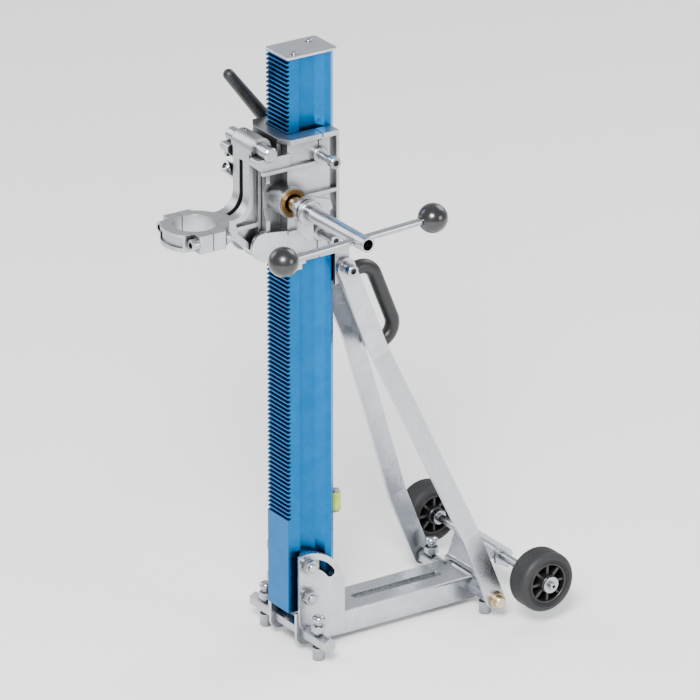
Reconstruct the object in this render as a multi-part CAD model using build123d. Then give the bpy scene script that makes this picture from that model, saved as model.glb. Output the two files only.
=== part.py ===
"""Core drill rig: toothed column on a tilting foot, geared carriage with a machine holder, rear struts and wheels."""
import math
import os

from build123d import *

# X points to the crank side, -Y to the drill side, Z up. Heights are above the floor. Millimetres and degrees.

# Column extrusion
COLUMN_WIDTH = 50.0
COLUMN_DEPTH = 78.0
COLUMN_LENGTH = 788.0
COLUMN_BASE = 57.0
FRONT_LAND = 19.0
REAR_LAND_START = 19.6
RECESS_DEPTH = 7.0
RECESS_SLOPE_START = 8.0
REAR_CHAMFER = 9.5
CORE_WIDTH = 24.0
CORE_FRONT = -27.0
CORE_REAR = 21.0
TEE_MOUTH = 8.4
TEE_LIP = 5.0
TEE_WIDTH = 17.0
TEE_DEPTH = 6.0

# Rack and pinion
GEAR_MODULE = 2.0
PINION_TEETH = 12
PRESSURE_ANGLE = 20.0
RACK_START = 136.0
RACK_END_MARGIN = 3.0
MESH_GAP = 0.5
TOOTH_SLACK = 0.5
PINION_WIDTH = 40.0
NECK_LENGTH = 7.0
PINION_HEIGHT = 659.0

# Top plate
CAP_OVERHANG = 2.5
CAP_THICKNESS = 3.0
CAP_SCREW_X = 15.0
CAP_SCREW_Y = 21.0
CAP_SCREW_D = 5.0

# Foot, ears and base channel
CHANNEL_GAP = 9.0
SHEET = 5.0
CHANNEL_TOP = 42.0
CHANNEL_BOTTOM = 10.0
WEB_START = 37.0
WEB_END = 243.0
SIDE_END = 262.0
EAR_THICKNESS = 5.0
EAR_FRONT = -30.0
EAR_BOTTOM = 15.0
EAR_CORNER = 34.0
TILT_Y = -18.0
TILT_Z = 83.0
EAR_RADIUS = 60.0
ARC_RADIUS = 45.0
ARC_SWEEP = 56.0
BOLT_D = 12.0
ARC_SLOT_WIDTH = 13.0
BOLT_FLATS = 18.0
BORE_FIT = 0.05
FACE_GAP = 0.05
FOOT_PLATE_RADIUS = 57.0
ANCHOR_SLOT_WIDTH = 15.0
ANCHOR_SLOT_START = 78.0
ANCHOR_SLOT_END = 222.0
TAB_FRONT = -32.0
LUG_RADIUS = 17.0

# Crossbars and levelling screws
BAR_FLATS = 18.0
BAR_Z = 29.0
SPOT_FACE = 7.0
FRONT_BAR_Y = -17.0
FRONT_BAR_HALF = 92.0
REAR_BAR_Y = 252.0
REAR_BAR_HALF = 85.0
SCREW_X = 65.0
SCREW_D = 10.0
SCREW_TRAVEL = 4.0
PAD_D = 17.0
PAD_HEIGHT = 18.0
KNOB_D = 18.0
KNOB_Z = 55.0
KNOB_HEIGHT = 9.0
LEVEL_NUT = 9.0

# Axle and wheels
AXLE_Y = 294.5
AXLE_Z = 66.0
AXLE_D = 12.0
WHEEL_D = 85.0
WHEEL_WIDTH = 38.0
WHEEL_X = 136.0
RIM_D = 58.0
BRACKET_HALF = 46.0
BRACKET_SHEET = 4.0

# Struts, strut slider and carry handle
STRUT_WIDTH = 27.0
STRUT_THICKNESS = 6.0
STRUT_TOP_GAP = 8.5
STRUT_FOOT_X = 89.0
STRUT_PIVOT_Y = 47.0
STRUT_PIVOT_Z = 540.0
UPPER_BEND = 147.0
LOWER_BEND = 440.0
SLIDER_HEIGHT = 51.0
SLIDER_BELOW = 23.0
SLIDER_GAP = 0.4
SLIDER_WALL = 4.5
STRUT_BOLT_D = 10.0
FOOT_BOLT_D = 16.0
BRACE_START = 24.0
BRACE_END = 166.0
BRACE_SHEET = 4.0
HANDLE_D = 20.0
HANDLE_REACH = 36.0
HANDLE_TOP = 34.0
HANDLE_SPAN = 120.0
HANDLE_CORNER = 24.0

# Carriage
CARRIAGE_TOP = 742.0
CARRIAGE_BOTTOM = 570.0
CARRIAGE_CHEEK = 17.0
CARRIAGE_REAR = 28.0
CARRIAGE_FIT = 0.6
WALL_FRONT = -50.0
UPPER_FRONT = -57.0
FACE_Y = -75.0
FACE_THICKNESS = 6.0
RIB = 5.0
RIB_REACH = 5.0
SLIT = 1.6
GROOVE_AT_REAR = 3.0
BUSH_D = 36.0
BUSH_LENGTH = 24.0
BOSS_D = 42.0
BOSS_REACH = 13.0
SHAFT_D = 20.0
BUSH_RECESS_D = 26.0
BUSH_RECESS = 6.0
JOURNAL_FIT = 0.05
PAD_FIT = 0.3
PAD_LENGTH = 44.0
ADJUSTER_Y = -1.0
UPPER_ADJUSTER_Z = 713.0
LOWER_ADJUSTER_Z = 604.0
ADJUSTER_D = 10.0
ADJUSTER_REACH = 35.0
ADJUSTER_BOSS_D = 22.0

# Machine holder
HOOK_Y = -78.0
HOOK_Z = 729.0
PIN_D = 20.0
PIN_HALF = 49.0
PIN_FIT = 0.08
BARREL_D = 32.0
BARREL_HALF = 23.5
LUG_INNER = 26.0
LUG_OUTER = 44.0
ARM_HALF = 19.5
ARM_FRONT = -94.0
ARM_BACK = -75.6
WEB_HALF = 13.0
GROOVE_WIDTH = 9.0
GROOVE_DEPTH = 11.0
COLLAR_Y = -166.0
COLLAR_BORE = 60.0
COLLAR_D = 90.0
COLLAR_TOP = 638.0
COLLAR_HEIGHT = 24.5
COLLAR_WING = 46.0
COLLAR_BLOCK = 20.5
COLLAR_SPLIT = 1.2
CLAMP_SCREW_X = 38.0
CLAMP_SCREW_D = 10.0
NUT_D = 16.0
TOE_Y = -73.5
TOE_Z = 594.0
TOE_RADIUS = 21.0

# Crank
HUB_D = 34.0
HUB_STANDOFF = 25.0
HUB_LENGTH = 20.0
TUBE_D = 20.0
TUBE_BORE = 15.0
TUBE_END = 232.0
ROD_D = 10.0
ROD_X = 210.0
ROD_HALF = 115.0
ROD_TILT = 2.5
BALL_D = 40.0

# Lock lever
LEVER_STANDOFF = 18.0
LEVER_LENGTH = 118.0
LEVER_LEAN = 38.0
LEVER_ROOT_D = 20.0
LEVER_TIP_D = 15.5

# Spirit level
LEVEL_D = 15.0
LEVEL_HEIGHT = 26.0
LEVEL_Z = 183.0
LEVEL_X = 9.0

HALF_WIDTH = COLUMN_WIDTH / 2
CHANNEL_HALF = HALF_WIDTH + CHANNEL_GAP
STRUT_TOP_X = HALF_WIDTH + STRUT_TOP_GAP
CARRIAGE_HALF = HALF_WIDTH + CARRIAGE_CHEEK
BOSS_END = CARRIAGE_HALF + BOSS_REACH
LEVER_X = -(CARRIAGE_HALF + LEVER_STANDOFF)
HUB_START = BOSS_END + HUB_STANDOFF
HUB_END = HUB_START + HUB_LENGTH
HALF_DEPTH = COLUMN_DEPTH / 2
COLUMN_TOP = COLUMN_BASE + COLUMN_LENGTH
PITCH = math.pi * GEAR_MODULE
PINION_RADIUS = GEAR_MODULE * PINION_TEETH / 2
PINION_Y = -HALF_DEPTH + GEAR_MODULE - PINION_RADIUS - MESH_GAP
EAR_OUTER = CHANNEL_HALF + EAR_THICKNESS
SIDE_INNER = CHANNEL_HALF - SHEET


def box(x0, x1, y0, y1, z0, z1):
    """Block between two corners."""
    return Pos((x0 + x1) / 2, (y0 + y1) / 2, (z0 + z1) / 2) * Box(x1 - x0, y1 - y0, z1 - z0)


def rod_x(diameter, x0, x1, y, z):
    """Round bar along X."""
    return Pos((x0 + x1) / 2, y, z) * Rot(0, 90, 0) * Cylinder(diameter / 2, x1 - x0)


def rod_y(diameter, y0, y1, x, z):
    """Round bar along Y."""
    return Pos(x, (y0 + y1) / 2, z) * Rot(90, 0, 0) * Cylinder(diameter / 2, y1 - y0)


def rod_z(diameter, z0, z1, x, y):
    """Round bar along Z."""
    return Pos(x, y, (z0 + z1) / 2) * Cylinder(diameter / 2, z1 - z0)


def side_plate(points, x0, x1, radius=0.0):
    """Outline in (y, z), as thick as x0 to x1, with its corners rounded."""
    face = Polygon(*points, align=None)
    if radius > 0:
        face = fillet(face.vertices(), radius)
    return Pos(x0, 0, 0) * extrude(Plane.YZ * face, x1 - x0, dir=(1, 0, 0))


def curved_side_plate(corners, x0, x1):
    """Outline in (y, z) whose corners each have their own radius, as thick as x0 to x1."""
    face = Polygon(*[(y, z) for y, z, radius in corners], align=None)
    for y, z, radius in corners:
        if radius > 0:
            corner = face.vertices().sort_by_distance((y, z))[0]
            face = fillet(corner, radius)
    return Pos(x0, 0, 0) * extrude(Plane.YZ * face, x1 - x0, dir=(1, 0, 0))


def top_plate(points, z0, z1, radius=0.0):
    """Outline in (x, y), between two heights, with its corners rounded."""
    face = Polygon(*points, align=None)
    if radius > 0:
        face = fillet(face.vertices(), radius)
    return Pos(0, 0, z0) * extrude(Plane.XY * face, z1 - z0, dir=(0, 0, 1))


def mirrored(shape):
    """The same piece on the other side of the column."""
    return mirror(shape, about=Plane.YZ)


def pair(shape):
    """A piece and its mirror image as one node of separate solids."""
    twin = mirrored(shape)
    return Compound(children=[shape, twin])


def hex_x(flats, x0, x1, y, z, turn=30.0):
    """Hexagonal bar along X, with an edge on top unless it is turned."""
    face = Rot(0, 0, turn) * RegularPolygon(flats / 2, 6, major_radius=False)
    return Pos(x0, y, z) * extrude(Plane.YZ * face, x1 - x0)


def cap_screw(diameter, length):
    """Socket head screw with its head on +Z above the origin and its shank below it."""
    head = Pos(0, 0, diameter / 2) * Cylinder(0.8 * diameter, diameter)
    head = chamfer(head.edges().sort_by(Axis.Z)[-1], 0.08 * diameter)
    socket = extrude(RegularPolygon(0.4 * diameter, 6, major_radius=False), 0.55 * diameter)
    shank = Pos(0, 0, -length / 2) * Cylinder(diameter / 2, length)
    return head - Pos(0, 0, 0.45 * diameter) * socket + shank


def facing(x, y, z, direction):
    """Location whose local Z points along the direction."""
    return Plane(origin=(x, y, z), z_dir=direction).location


def build_column():
    """Extruded column with side recesses, a rear T-slot and teeth across its front."""
    floor_x = HALF_WIDTH - RECESS_DEPTH
    land_y = -HALF_DEPTH + FRONT_LAND
    lip_y = HALF_DEPTH - TEE_LIP
    right = [
        (HALF_WIDTH, -HALF_DEPTH),
        (HALF_WIDTH, land_y),
        (floor_x, land_y),
        (floor_x, RECESS_SLOPE_START),
        (HALF_WIDTH, REAR_LAND_START),
        (HALF_WIDTH, HALF_DEPTH - REAR_CHAMFER),
        (HALF_WIDTH - REAR_CHAMFER, HALF_DEPTH),
        (TEE_MOUTH / 2, HALF_DEPTH),
        (TEE_MOUTH / 2, lip_y),
        (TEE_WIDTH / 2, lip_y),
        (TEE_WIDTH / 2, lip_y - TEE_DEPTH),
    ]
    left = [(-x, y) for x, y in reversed(right)]
    body = top_plate(right + left, COLUMN_BASE, COLUMN_TOP)
    core_depth = CORE_REAR - CORE_FRONT
    core = Pos(0, (CORE_REAR + CORE_FRONT) / 2) * RectangleRounded(CORE_WIDTH, core_depth, 3)
    body -= Pos(0, 0, COLUMN_BASE) * extrude(core, COLUMN_LENGTH)
    body -= Compound(children=rack_grooves())
    for z_hole in (TILT_Z, TILT_Z + ARC_RADIUS):
        body -= rod_x(BOLT_D + 2 * BORE_FIT, -COLUMN_WIDTH, COLUMN_WIDTH, TILT_Y, z_hole)
    for sign in (-1, 1):
        place = (sign * CAP_SCREW_X, -sign * CAP_SCREW_Y)
        body -= rod_z(CAP_SCREW_D, COLUMN_TOP - 14, COLUMN_TOP, *place)
    return body


def rack_grooves():
    """Tooth gaps, spaced so that one is level with the pinion."""
    slope = math.tan(math.radians(PRESSURE_ANGLE))
    depth = 2.25 * GEAR_MODULE
    mouth = PITCH / 4 + slope * GEAR_MODULE
    root = mouth - slope * depth
    first = math.ceil((COLUMN_BASE + RACK_START - PINION_HEIGHT) / PITCH)
    last = math.floor((COLUMN_TOP - RACK_END_MARGIN - PINION_HEIGHT) / PITCH)
    face_y = -HALF_DEPTH
    grooves = []
    for step in range(first, last + 1):
        z = PINION_HEIGHT + step * PITCH
        points = [
            (face_y - 1, z - mouth - slope),
            (face_y + depth, z - root),
            (face_y + depth, z + root),
            (face_y - 1, z + mouth + slope),
        ]
        grooves.append(side_plate(points, -HALF_WIDTH - 1, HALF_WIDTH + 1))
    return grooves


def build_cap_plate():
    """Thin plate that closes the column and stops the carriage."""
    half_x = HALF_WIDTH + CAP_OVERHANG
    plate = Pos(0, 0, COLUMN_TOP) * extrude(RectangleRounded(2 * half_x, COLUMN_DEPTH, 4), CAP_THICKNESS)
    for sign in (-1, 1):
        plate -= rod_z(CAP_SCREW_D, COLUMN_TOP, COLUMN_TOP + CAP_THICKNESS, sign * CAP_SCREW_X, -sign * CAP_SCREW_Y)
    return plate


def build_cap_screws():
    """Two low domed screws through the top plate."""
    screws = []
    for sign in (-1, 1):
        x, y = sign * CAP_SCREW_X, -sign * CAP_SCREW_Y
        shank = rod_z(CAP_SCREW_D, COLUMN_TOP - 12, COLUMN_TOP + CAP_THICKNESS, x, y)
        head = rod_z(2 * CAP_SCREW_D, COLUMN_TOP + CAP_THICKNESS, COLUMN_TOP + CAP_THICKNESS + 2.4, x, y)
        head = fillet(head.edges().sort_by(Axis.Z)[-1], 1.4)
        socket = RegularPolygon(1.6, 6, major_radius=False)
        screws.append(shank + head - Pos(x, y, COLUMN_TOP + CAP_THICKNESS + 0.8) * extrude(socket, 3))
    return Compound(children=screws)


def ear_outline(front, bottom, rear, radius):
    """Rounded upright plate about the tilt pivot, as a face in (y, z)."""
    disc = Pos(TILT_Y, TILT_Z) * Circle(radius)
    keep = Pos((front + rear) / 2, (bottom + TILT_Z + radius) / 2)
    disc &= keep * Rectangle(rear - front, TILT_Z + radius - bottom)
    skirt = Pos((front + rear) / 2, (bottom + TILT_Z) / 2) * Rectangle(rear - front, TILT_Z - bottom)
    return disc + skirt


def arc_slot(width):
    """Curved slot that the upper foot bolt swings in, as a face in (y, z)."""
    arc = CenterArc((0, 0), ARC_RADIUS, 90 - ARC_SWEEP, ARC_SWEEP)
    return Pos(TILT_Y, TILT_Z) * SlotArc(arc, width)


def across(face, x0, x1):
    """Face drawn in (y, z) made as thick as x0 to x1."""
    return Pos(x0, 0, 0) * extrude(Plane.YZ * face, x1 - x0)


def build_ear():
    """Outer ear plate on the crank side, with its pivot hole and curved slot."""
    rear = TILT_Y + EAR_RADIUS
    face = ear_outline(EAR_FRONT, EAR_BOTTOM, rear, EAR_RADIUS)
    corner = face.vertices().sort_by(lambda v: v.X + v.Y)[0]
    face = fillet(corner, EAR_CORNER)
    face -= arc_slot(ARC_SLOT_WIDTH)
    face -= Pos(TILT_Y, TILT_Z) * Circle(BOLT_D / 2 + BORE_FIT)
    return across(face, CHANNEL_HALF, EAR_OUTER) - hex_x(BAR_FLATS, CHANNEL_HALF, EAR_OUTER, FRONT_BAR_Y, BAR_Z)


def channel_side():
    """Channel side on the crank side: inner ear, front tab and long side in one sheet."""
    inner_front = TILT_Y - 6
    ear = ear_outline(inner_front, CHANNEL_BOTTOM, TILT_Y + EAR_RADIUS, EAR_RADIUS)
    long_side = Pos((TAB_FRONT + SIDE_END) / 2, (CHANNEL_BOTTOM + CHANNEL_TOP) / 2)
    long_side *= Rectangle(SIDE_END - TAB_FRONT, CHANNEL_TOP - CHANNEL_BOTTOM)
    tab = Pos((TAB_FRONT + 0) / 2, (CHANNEL_BOTTOM + COLUMN_BASE) / 2)
    tab *= Rectangle(-TAB_FRONT, COLUMN_BASE - CHANNEL_BOTTOM)
    face = ear + long_side + tab
    low_front = face.vertices().sort_by(lambda v: v.X + v.Y)[0]
    face = fillet(low_front, LUG_RADIUS - 3)
    low_rear = face.vertices().sort_by(lambda v: v.X - v.Y)[-1]
    face = fillet(low_rear, 8)
    face -= arc_slot(ARC_SLOT_WIDTH)
    face -= Pos(TILT_Y, TILT_Z) * Circle(BOLT_D / 2 + BORE_FIT)
    return across(face, SIDE_INNER, CHANNEL_HALF)


def build_base_channel():
    """Folded base with its long anchor slot and the holes that the crossbars are welded in."""
    side = channel_side()
    web = box(-CHANNEL_HALF, CHANNEL_HALF, WEB_START, WEB_END, CHANNEL_TOP - SHEET, CHANNEL_TOP)
    body = side + mirrored(side) + web
    long_edges = [edge for edge in body.edges().filter_by(Axis.Y) if edge.length > 150]
    bends = [edge for edge in long_edges if abs(edge.center().Z - CHANNEL_TOP) < 0.01 and abs(edge.center().X) > 30]
    body = fillet(bends, 3.0)
    length = ANCHOR_SLOT_END - ANCHOR_SLOT_START
    slot = Pos(0, (ANCHOR_SLOT_START + ANCHOR_SLOT_END) / 2) * Rot(0, 0, 90) * SlotOverall(length, ANCHOR_SLOT_WIDTH)
    body -= Pos(0, 0, CHANNEL_TOP - 2 * SHEET) * extrude(slot, 3 * SHEET)
    for bar_y in (FRONT_BAR_Y, REAR_BAR_Y):
        body -= hex_x(BAR_FLATS, -CHANNEL_HALF, CHANNEL_HALF, bar_y, BAR_Z)
    return body


def build_crossbar(bar_y, half):
    """Hexagonal bar with a flat and an upright hole near each end for the levelling screws."""
    bar = hex_x(BAR_FLATS, -half, half, bar_y, BAR_Z)
    for sign in (-1, 1):
        near, far = SCREW_X - 11, SCREW_X + 11
        x0, x1 = sorted((sign * near, sign * far))
        bar -= box(x0, x1, bar_y - BAR_FLATS, bar_y + BAR_FLATS, BAR_Z + SPOT_FACE, BAR_Z + BAR_FLATS)
        bar -= rod_z(SCREW_D + 2 * BORE_FIT, BAR_Z - BAR_FLATS, BAR_Z + BAR_FLATS, sign * SCREW_X, bar_y)
    return bar


def build_rear_crossbar():
    """Rear bar, drilled and tapped at both ends."""
    bar = build_crossbar(REAR_BAR_Y, REAR_BAR_HALF)
    for sign in (-1, 1):
        x0, x1 = sorted((sign * (REAR_BAR_HALF - 13), sign * REAR_BAR_HALF))
        bar -= rod_x(STRUT_BOLT_D, x0, x1, REAR_BAR_Y, BAR_Z)
    return bar


def build_level_screw(x, y):
    """Levelling screw with a domed head."""
    shank = rod_z(SCREW_D, PAD_HEIGHT - 6, KNOB_Z + 2, x, y)
    head = rod_z(KNOB_D, KNOB_Z, KNOB_Z + KNOB_HEIGHT, x, y)
    head = fillet(head.edges().sort_by(Axis.Z)[-1], 5.5)
    head = fillet(head.edges().sort_by(Axis.Z)[0], 1.5)
    return shank + head


def build_level_pad(x, y):
    """Round foot pressed on the lower end of a levelling screw."""
    pad = rod_z(PAD_D, 0, PAD_HEIGHT, x, y)
    pad = fillet(pad.edges().sort_by(Axis.Z)[0], 2.0)
    return pad - rod_z(SCREW_D, PAD_HEIGHT - 6, PAD_HEIGHT + 1, x, y)


def build_level_nut(x, y):
    """Lock nut on a levelling screw."""
    bottom = BAR_Z + SPOT_FACE + SCREW_TRAVEL + 0.2
    nut = Pos(x, y, bottom) * extrude(RegularPolygon(8.5, 6, major_radius=False), LEVEL_NUT)
    return nut - rod_z(SCREW_D, bottom - 1, KNOB_Z, x, y)


def build_axle_bracket():
    """Folded sheet that carries the axle behind the base."""
    sheet = BRACKET_SHEET
    foot_y = SIDE_END - 8
    line = [
        (foot_y, CHANNEL_TOP + sheet / 2),
        (foot_y + 8, CHANNEL_TOP + sheet / 2),
        (AXLE_Y - 12, AXLE_Z + 15),
        (AXLE_Y + 15, AXLE_Z + 3),
        (AXLE_Y + 8, AXLE_Z - 19),
    ]
    path = FilletPolyline(*line, radius=4)
    face = trace(path, line_width=sheet)
    plate = across(face, -BRACKET_HALF, BRACKET_HALF)
    for sign in (-1, 1):
        corner = [
            (sign * CHANNEL_HALF, foot_y - 5),
            (sign * (BRACKET_HALF + 5), foot_y - 5),
            (sign * (BRACKET_HALF + 5), AXLE_Y - 14),
            (sign * BRACKET_HALF, AXLE_Y - 14),
        ]
        plate -= top_plate(corner, CHANNEL_TOP - 10, AXLE_Z + 40)
    cheek_points = [
        (AXLE_Y - 13, AXLE_Z + 15),
        (AXLE_Y + 15, AXLE_Z + 3.5),
        (AXLE_Y + 8, AXLE_Z - 18),
        (AXLE_Y - 12, AXLE_Z - 9),
    ]
    cheek = side_plate(cheek_points, BRACKET_HALF - sheet, BRACKET_HALF, 2)
    body = plate + cheek + mirrored(cheek)
    return body - rod_x(AXLE_D, -BRACKET_HALF - 1, BRACKET_HALF + 1, AXLE_Y, AXLE_Z)


def axle_half():
    """Half the length of the axle: it ends flush with the hubs."""
    return WHEEL_X + WHEEL_WIDTH / 2 + 3


def build_axle():
    """Bar axle, tapped at both ends."""
    axle = rod_x(AXLE_D, -axle_half(), axle_half(), AXLE_Y, AXLE_Z)
    for sign in (-1, 1):
        x0, x1 = sorted((sign * (axle_half() - 16), sign * axle_half()))
        axle -= rod_x(6, x0, x1, AXLE_Y, AXLE_Z)
    return axle


def build_axle_collar():
    """Collar that keeps a wheel off the bracket side of the axle."""
    inner = WHEEL_X - WHEEL_WIDTH / 2 - 3.3
    collar = rod_x(AXLE_D + 8, inner - 7, inner, AXLE_Y, AXLE_Z)
    return collar - rod_x(AXLE_D, inner - 8, inner + 1, AXLE_Y, AXLE_Z)


def build_axle_screw():
    """Washer and socket screw that keep a wheel on the axle."""
    outer = axle_half() + 0.2
    washer = rod_x(23, outer, outer + 2, AXLE_Y, AXLE_Z) - rod_x(6, outer - 1, outer + 3, AXLE_Y, AXLE_Z)
    screw = facing(outer + 2, AXLE_Y, AXLE_Z, (1, 0, 0)) * cap_screw(6, 17)
    return washer + screw


def build_tyre():
    """Rubber tyre with rounded shoulders, on the crank side."""
    ring = rod_x(WHEEL_D, WHEEL_X - WHEEL_WIDTH / 2, WHEEL_X + WHEEL_WIDTH / 2, AXLE_Y, AXLE_Z)
    ring = fillet(ring.edges().filter_by(GeomType.CIRCLE), 9)
    return ring - rod_x(RIM_D, WHEEL_X - WHEEL_WIDTH, WHEEL_X + WHEEL_WIDTH, AXLE_Y, AXLE_Z)


def build_rim():
    """Spoked plastic wheel centre, on the crank side."""
    half = WHEEL_WIDTH / 2 - 1
    rim = rod_x(RIM_D, WHEEL_X - half, WHEEL_X + half, AXLE_Y, AXLE_Z)
    hub_d = 24.0
    for sign in (-1, 1):
        x0, x1 = sorted((WHEEL_X + sign * 3, WHEEL_X + sign * (half + 1)))
        rim -= rod_x(RIM_D - 8, x0, x1, AXLE_Y, AXLE_Z) - rod_x(hub_d, x0 - 1, x1 + 1, AXLE_Y, AXLE_Z)
    for index in range(8):
        spoke = box(WHEEL_X - half + 2, WHEEL_X + half - 2, -1.6, 1.6, hub_d / 2 - 1, RIM_D / 2 - 3)
        rim += Pos(0, AXLE_Y, AXLE_Z) * Rot(index * 45, 0, 0) * spoke
    rim += rod_x(hub_d, WHEEL_X - half - 4, WHEEL_X + half + 4, AXLE_Y, AXLE_Z)
    return rim - rod_x(AXLE_D + 4, WHEEL_X - WHEEL_WIDTH, WHEEL_X + WHEEL_WIDTH, AXLE_Y, AXLE_Z)


def build_wheel_bush():
    """Sleeve pressed in a wheel, running on the axle."""
    half = WHEEL_WIDTH / 2 + 3
    sleeve = rod_x(AXLE_D + 4, WHEEL_X - half, WHEEL_X + half, AXLE_Y, AXLE_Z)
    return sleeve - rod_x(AXLE_D + 2 * JOURNAL_FIT, WHEEL_X - half - 1, WHEEL_X + half + 1, AXLE_Y, AXLE_Z)


def build_foot_plate():
    """Plate in the column's side recess that packs it out to the ear, on the crank side."""
    front = -HALF_DEPTH + FRONT_LAND + PAD_FIT
    rear = RECESS_SLOPE_START - PAD_FIT
    face = Pos(TILT_Y, TILT_Z) * Circle(FOOT_PLATE_RADIUS)
    keep = Pos((front + rear) / 2, (COLUMN_BASE + 6 + TILT_Z + 70) / 2)
    face &= keep * Rectangle(rear - front, TILT_Z + 70 - COLUMN_BASE - 6)
    for z_hole in (TILT_Z, TILT_Z + ARC_RADIUS):
        face -= Pos(TILT_Y, z_hole) * Circle(BOLT_D / 2 + BORE_FIT)
    return across(face, HALF_WIDTH - RECESS_DEPTH, SIDE_INNER - PAD_FIT)


def foot_bolt_heights():
    """Heights of the pivot bolt and of the bolt that swings in the curved slots."""
    return TILT_Z, TILT_Z + ARC_RADIUS


def build_foot_bolt(z):
    """Through bolt at the foot with a hexagonal head on the far side."""
    inner = EAR_OUTER + FACE_GAP
    shank = rod_x(BOLT_D, -inner, inner + 15.5, TILT_Y, z)
    shank = chamfer(shank.edges().sort_by(Axis.X)[-1], 1)
    return shank + hex_x(BOLT_FLATS, -inner - 8, -inner, TILT_Y, z)


def build_foot_nut(z):
    """Washer and hexagonal nut on a foot bolt."""
    inner = EAR_OUTER + FACE_GAP
    washer = rod_x(24, inner, inner + 2.5, TILT_Y, z)
    nut = hex_x(BOLT_FLATS, inner + 2.5, inner + 12.5, TILT_Y, z, 10)
    return washer + nut - rod_x(BOLT_D, inner - 1, inner + 14, TILT_Y, z)


def build_level_vial():
    """Spirit level tube on the back of the column."""
    y = HALF_DEPTH + LEVEL_D / 2
    vial = rod_z(LEVEL_D, LEVEL_Z, LEVEL_Z + LEVEL_HEIGHT, LEVEL_X, y)
    vial += box(LEVEL_X - 5, LEVEL_X + 5, HALF_DEPTH, y, LEVEL_Z, LEVEL_Z + LEVEL_HEIGHT)
    return fillet(vial.edges().filter_by(GeomType.CIRCLE), 1.5)


def build_level_caps():
    """End caps of the spirit level."""
    y = HALF_DEPTH + LEVEL_D / 2
    lower = rod_z(LEVEL_D - 4, LEVEL_Z - 3, LEVEL_Z, LEVEL_X, y)
    upper = rod_z(LEVEL_D - 4, LEVEL_Z + LEVEL_HEIGHT, LEVEL_Z + LEVEL_HEIGHT + 3, LEVEL_X, y)
    return Compound(children=[lower, upper])


def slider_span():
    """Lower and upper ends of the strut slider."""
    bottom = STRUT_PIVOT_Z - SLIDER_BELOW
    return bottom, bottom + SLIDER_HEIGHT


def build_strut_slider():
    """Bracket round the back of the column that the struts hang from."""
    bottom, top = slider_span()
    inner = HALF_WIDTH + SLIDER_GAP
    outer = inner + SLIDER_WALL
    back = HALF_DEPTH + SLIDER_GAP
    body = box(-outer, outer, back, back + 7, bottom, top)
    for sign in (-1, 1):
        x0, x1 = sorted((sign * inner, sign * outer))
        body += box(x0, x1, HALF_DEPTH - 6, back + 16, bottom, top)
        x2, x3 = sorted((sign * (inner - 8), sign * inner))
        body += box(x2, x3, back, back + 16, STRUT_PIVOT_Z - 10, STRUT_PIVOT_Z + 10)
        hole = sorted((sign * (inner - 9), sign * (outer + 1)))
        body -= rod_x(STRUT_BOLT_D, hole[0], hole[1], STRUT_PIVOT_Y, STRUT_PIVOT_Z)
    body -= rod_y(8, back - 1, back + 8, 0, top - 12)
    return body


def build_tee_nut():
    """Nut that slides in the column's rear T-slot."""
    top = slider_span()[1]
    lip = HALF_DEPTH - TEE_LIP
    nut = box(-TEE_WIDTH / 2 + 0.4, TEE_WIDTH / 2 - 0.4, lip - TEE_DEPTH + 0.4, lip - 0.4, top - 22, top - 2)
    return nut - rod_y(8, lip - TEE_DEPTH, lip, 0, top - 12)


def build_slider_screw():
    """Screw that clamps the strut slider to the T-nut."""
    back = HALF_DEPTH + SLIDER_GAP + 7
    length = back - (HALF_DEPTH - TEE_LIP - TEE_DEPTH + 0.6)
    return facing(0, back, slider_span()[1] - 12, (0, 1, 0)) * cap_screw(8, length)


def strut_plane():
    """Plane of the struts: local X runs down along them, local Y sideways, local Z to the rear."""
    run = Vector(0, REAR_BAR_Y - STRUT_PIVOT_Y, BAR_Z - STRUT_PIVOT_Z).normalized()
    rear = Vector(0, -run.Z, run.Y)
    return Plane(origin=(0, STRUT_PIVOT_Y, STRUT_PIVOT_Z), x_dir=run, z_dir=rear)


def strut_length():
    """Distance between a strut's two bolts."""
    return math.hypot(REAR_BAR_Y - STRUT_PIVOT_Y, BAR_Z - STRUT_PIVOT_Z)


def build_strut():
    """Bent flat bar; one of the pair, on the side that local +Y points to."""
    reach = strut_length()
    end = STRUT_WIDTH / 2
    line = [(-end, STRUT_TOP_X), (UPPER_BEND, STRUT_TOP_X), (LOWER_BEND, STRUT_FOOT_X), (reach + end, STRUT_FOOT_X)]
    path = FilletPolyline(*line, radius=12)
    face = trace(path, line_width=STRUT_THICKNESS)
    bar = Pos(0, 0, -STRUT_WIDTH / 2) * extrude(face, STRUT_WIDTH)
    for centre, outward in ((0, -1), (reach, 1)):
        block = Pos(centre + outward * STRUT_WIDTH, 0, 0) * Box(2 * STRUT_WIDTH, 400, 2 * STRUT_WIDTH)
        disc = Pos(centre, 0, 0) * Rot(90, 0, 0) * Cylinder(STRUT_WIDTH / 2, 400)
        bar -= block - disc
        bore = (STRUT_BOLT_D if centre == 0 else FOOT_BOLT_D) / 2 + BORE_FIT
        bar -= Pos(centre, 0, 0) * Rot(90, 0, 0) * Cylinder(bore, 400)
    return bar


def build_brace():
    """Sheet between the struts that the carry handle is screwed to."""
    inner = STRUT_TOP_X - STRUT_THICKNESS / 2
    depth = STRUT_WIDTH / 2
    plate = Pos((BRACE_START + BRACE_END) / 2, 0, depth - BRACE_SHEET / 2)
    plate *= Box(BRACE_END - BRACE_START, 2 * inner, BRACE_SHEET)
    for reach in (HANDLE_TOP, HANDLE_TOP + HANDLE_SPAN):
        plate -= Pos(reach, 0, depth) * Cylinder(4, 20)
    return plate


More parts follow.
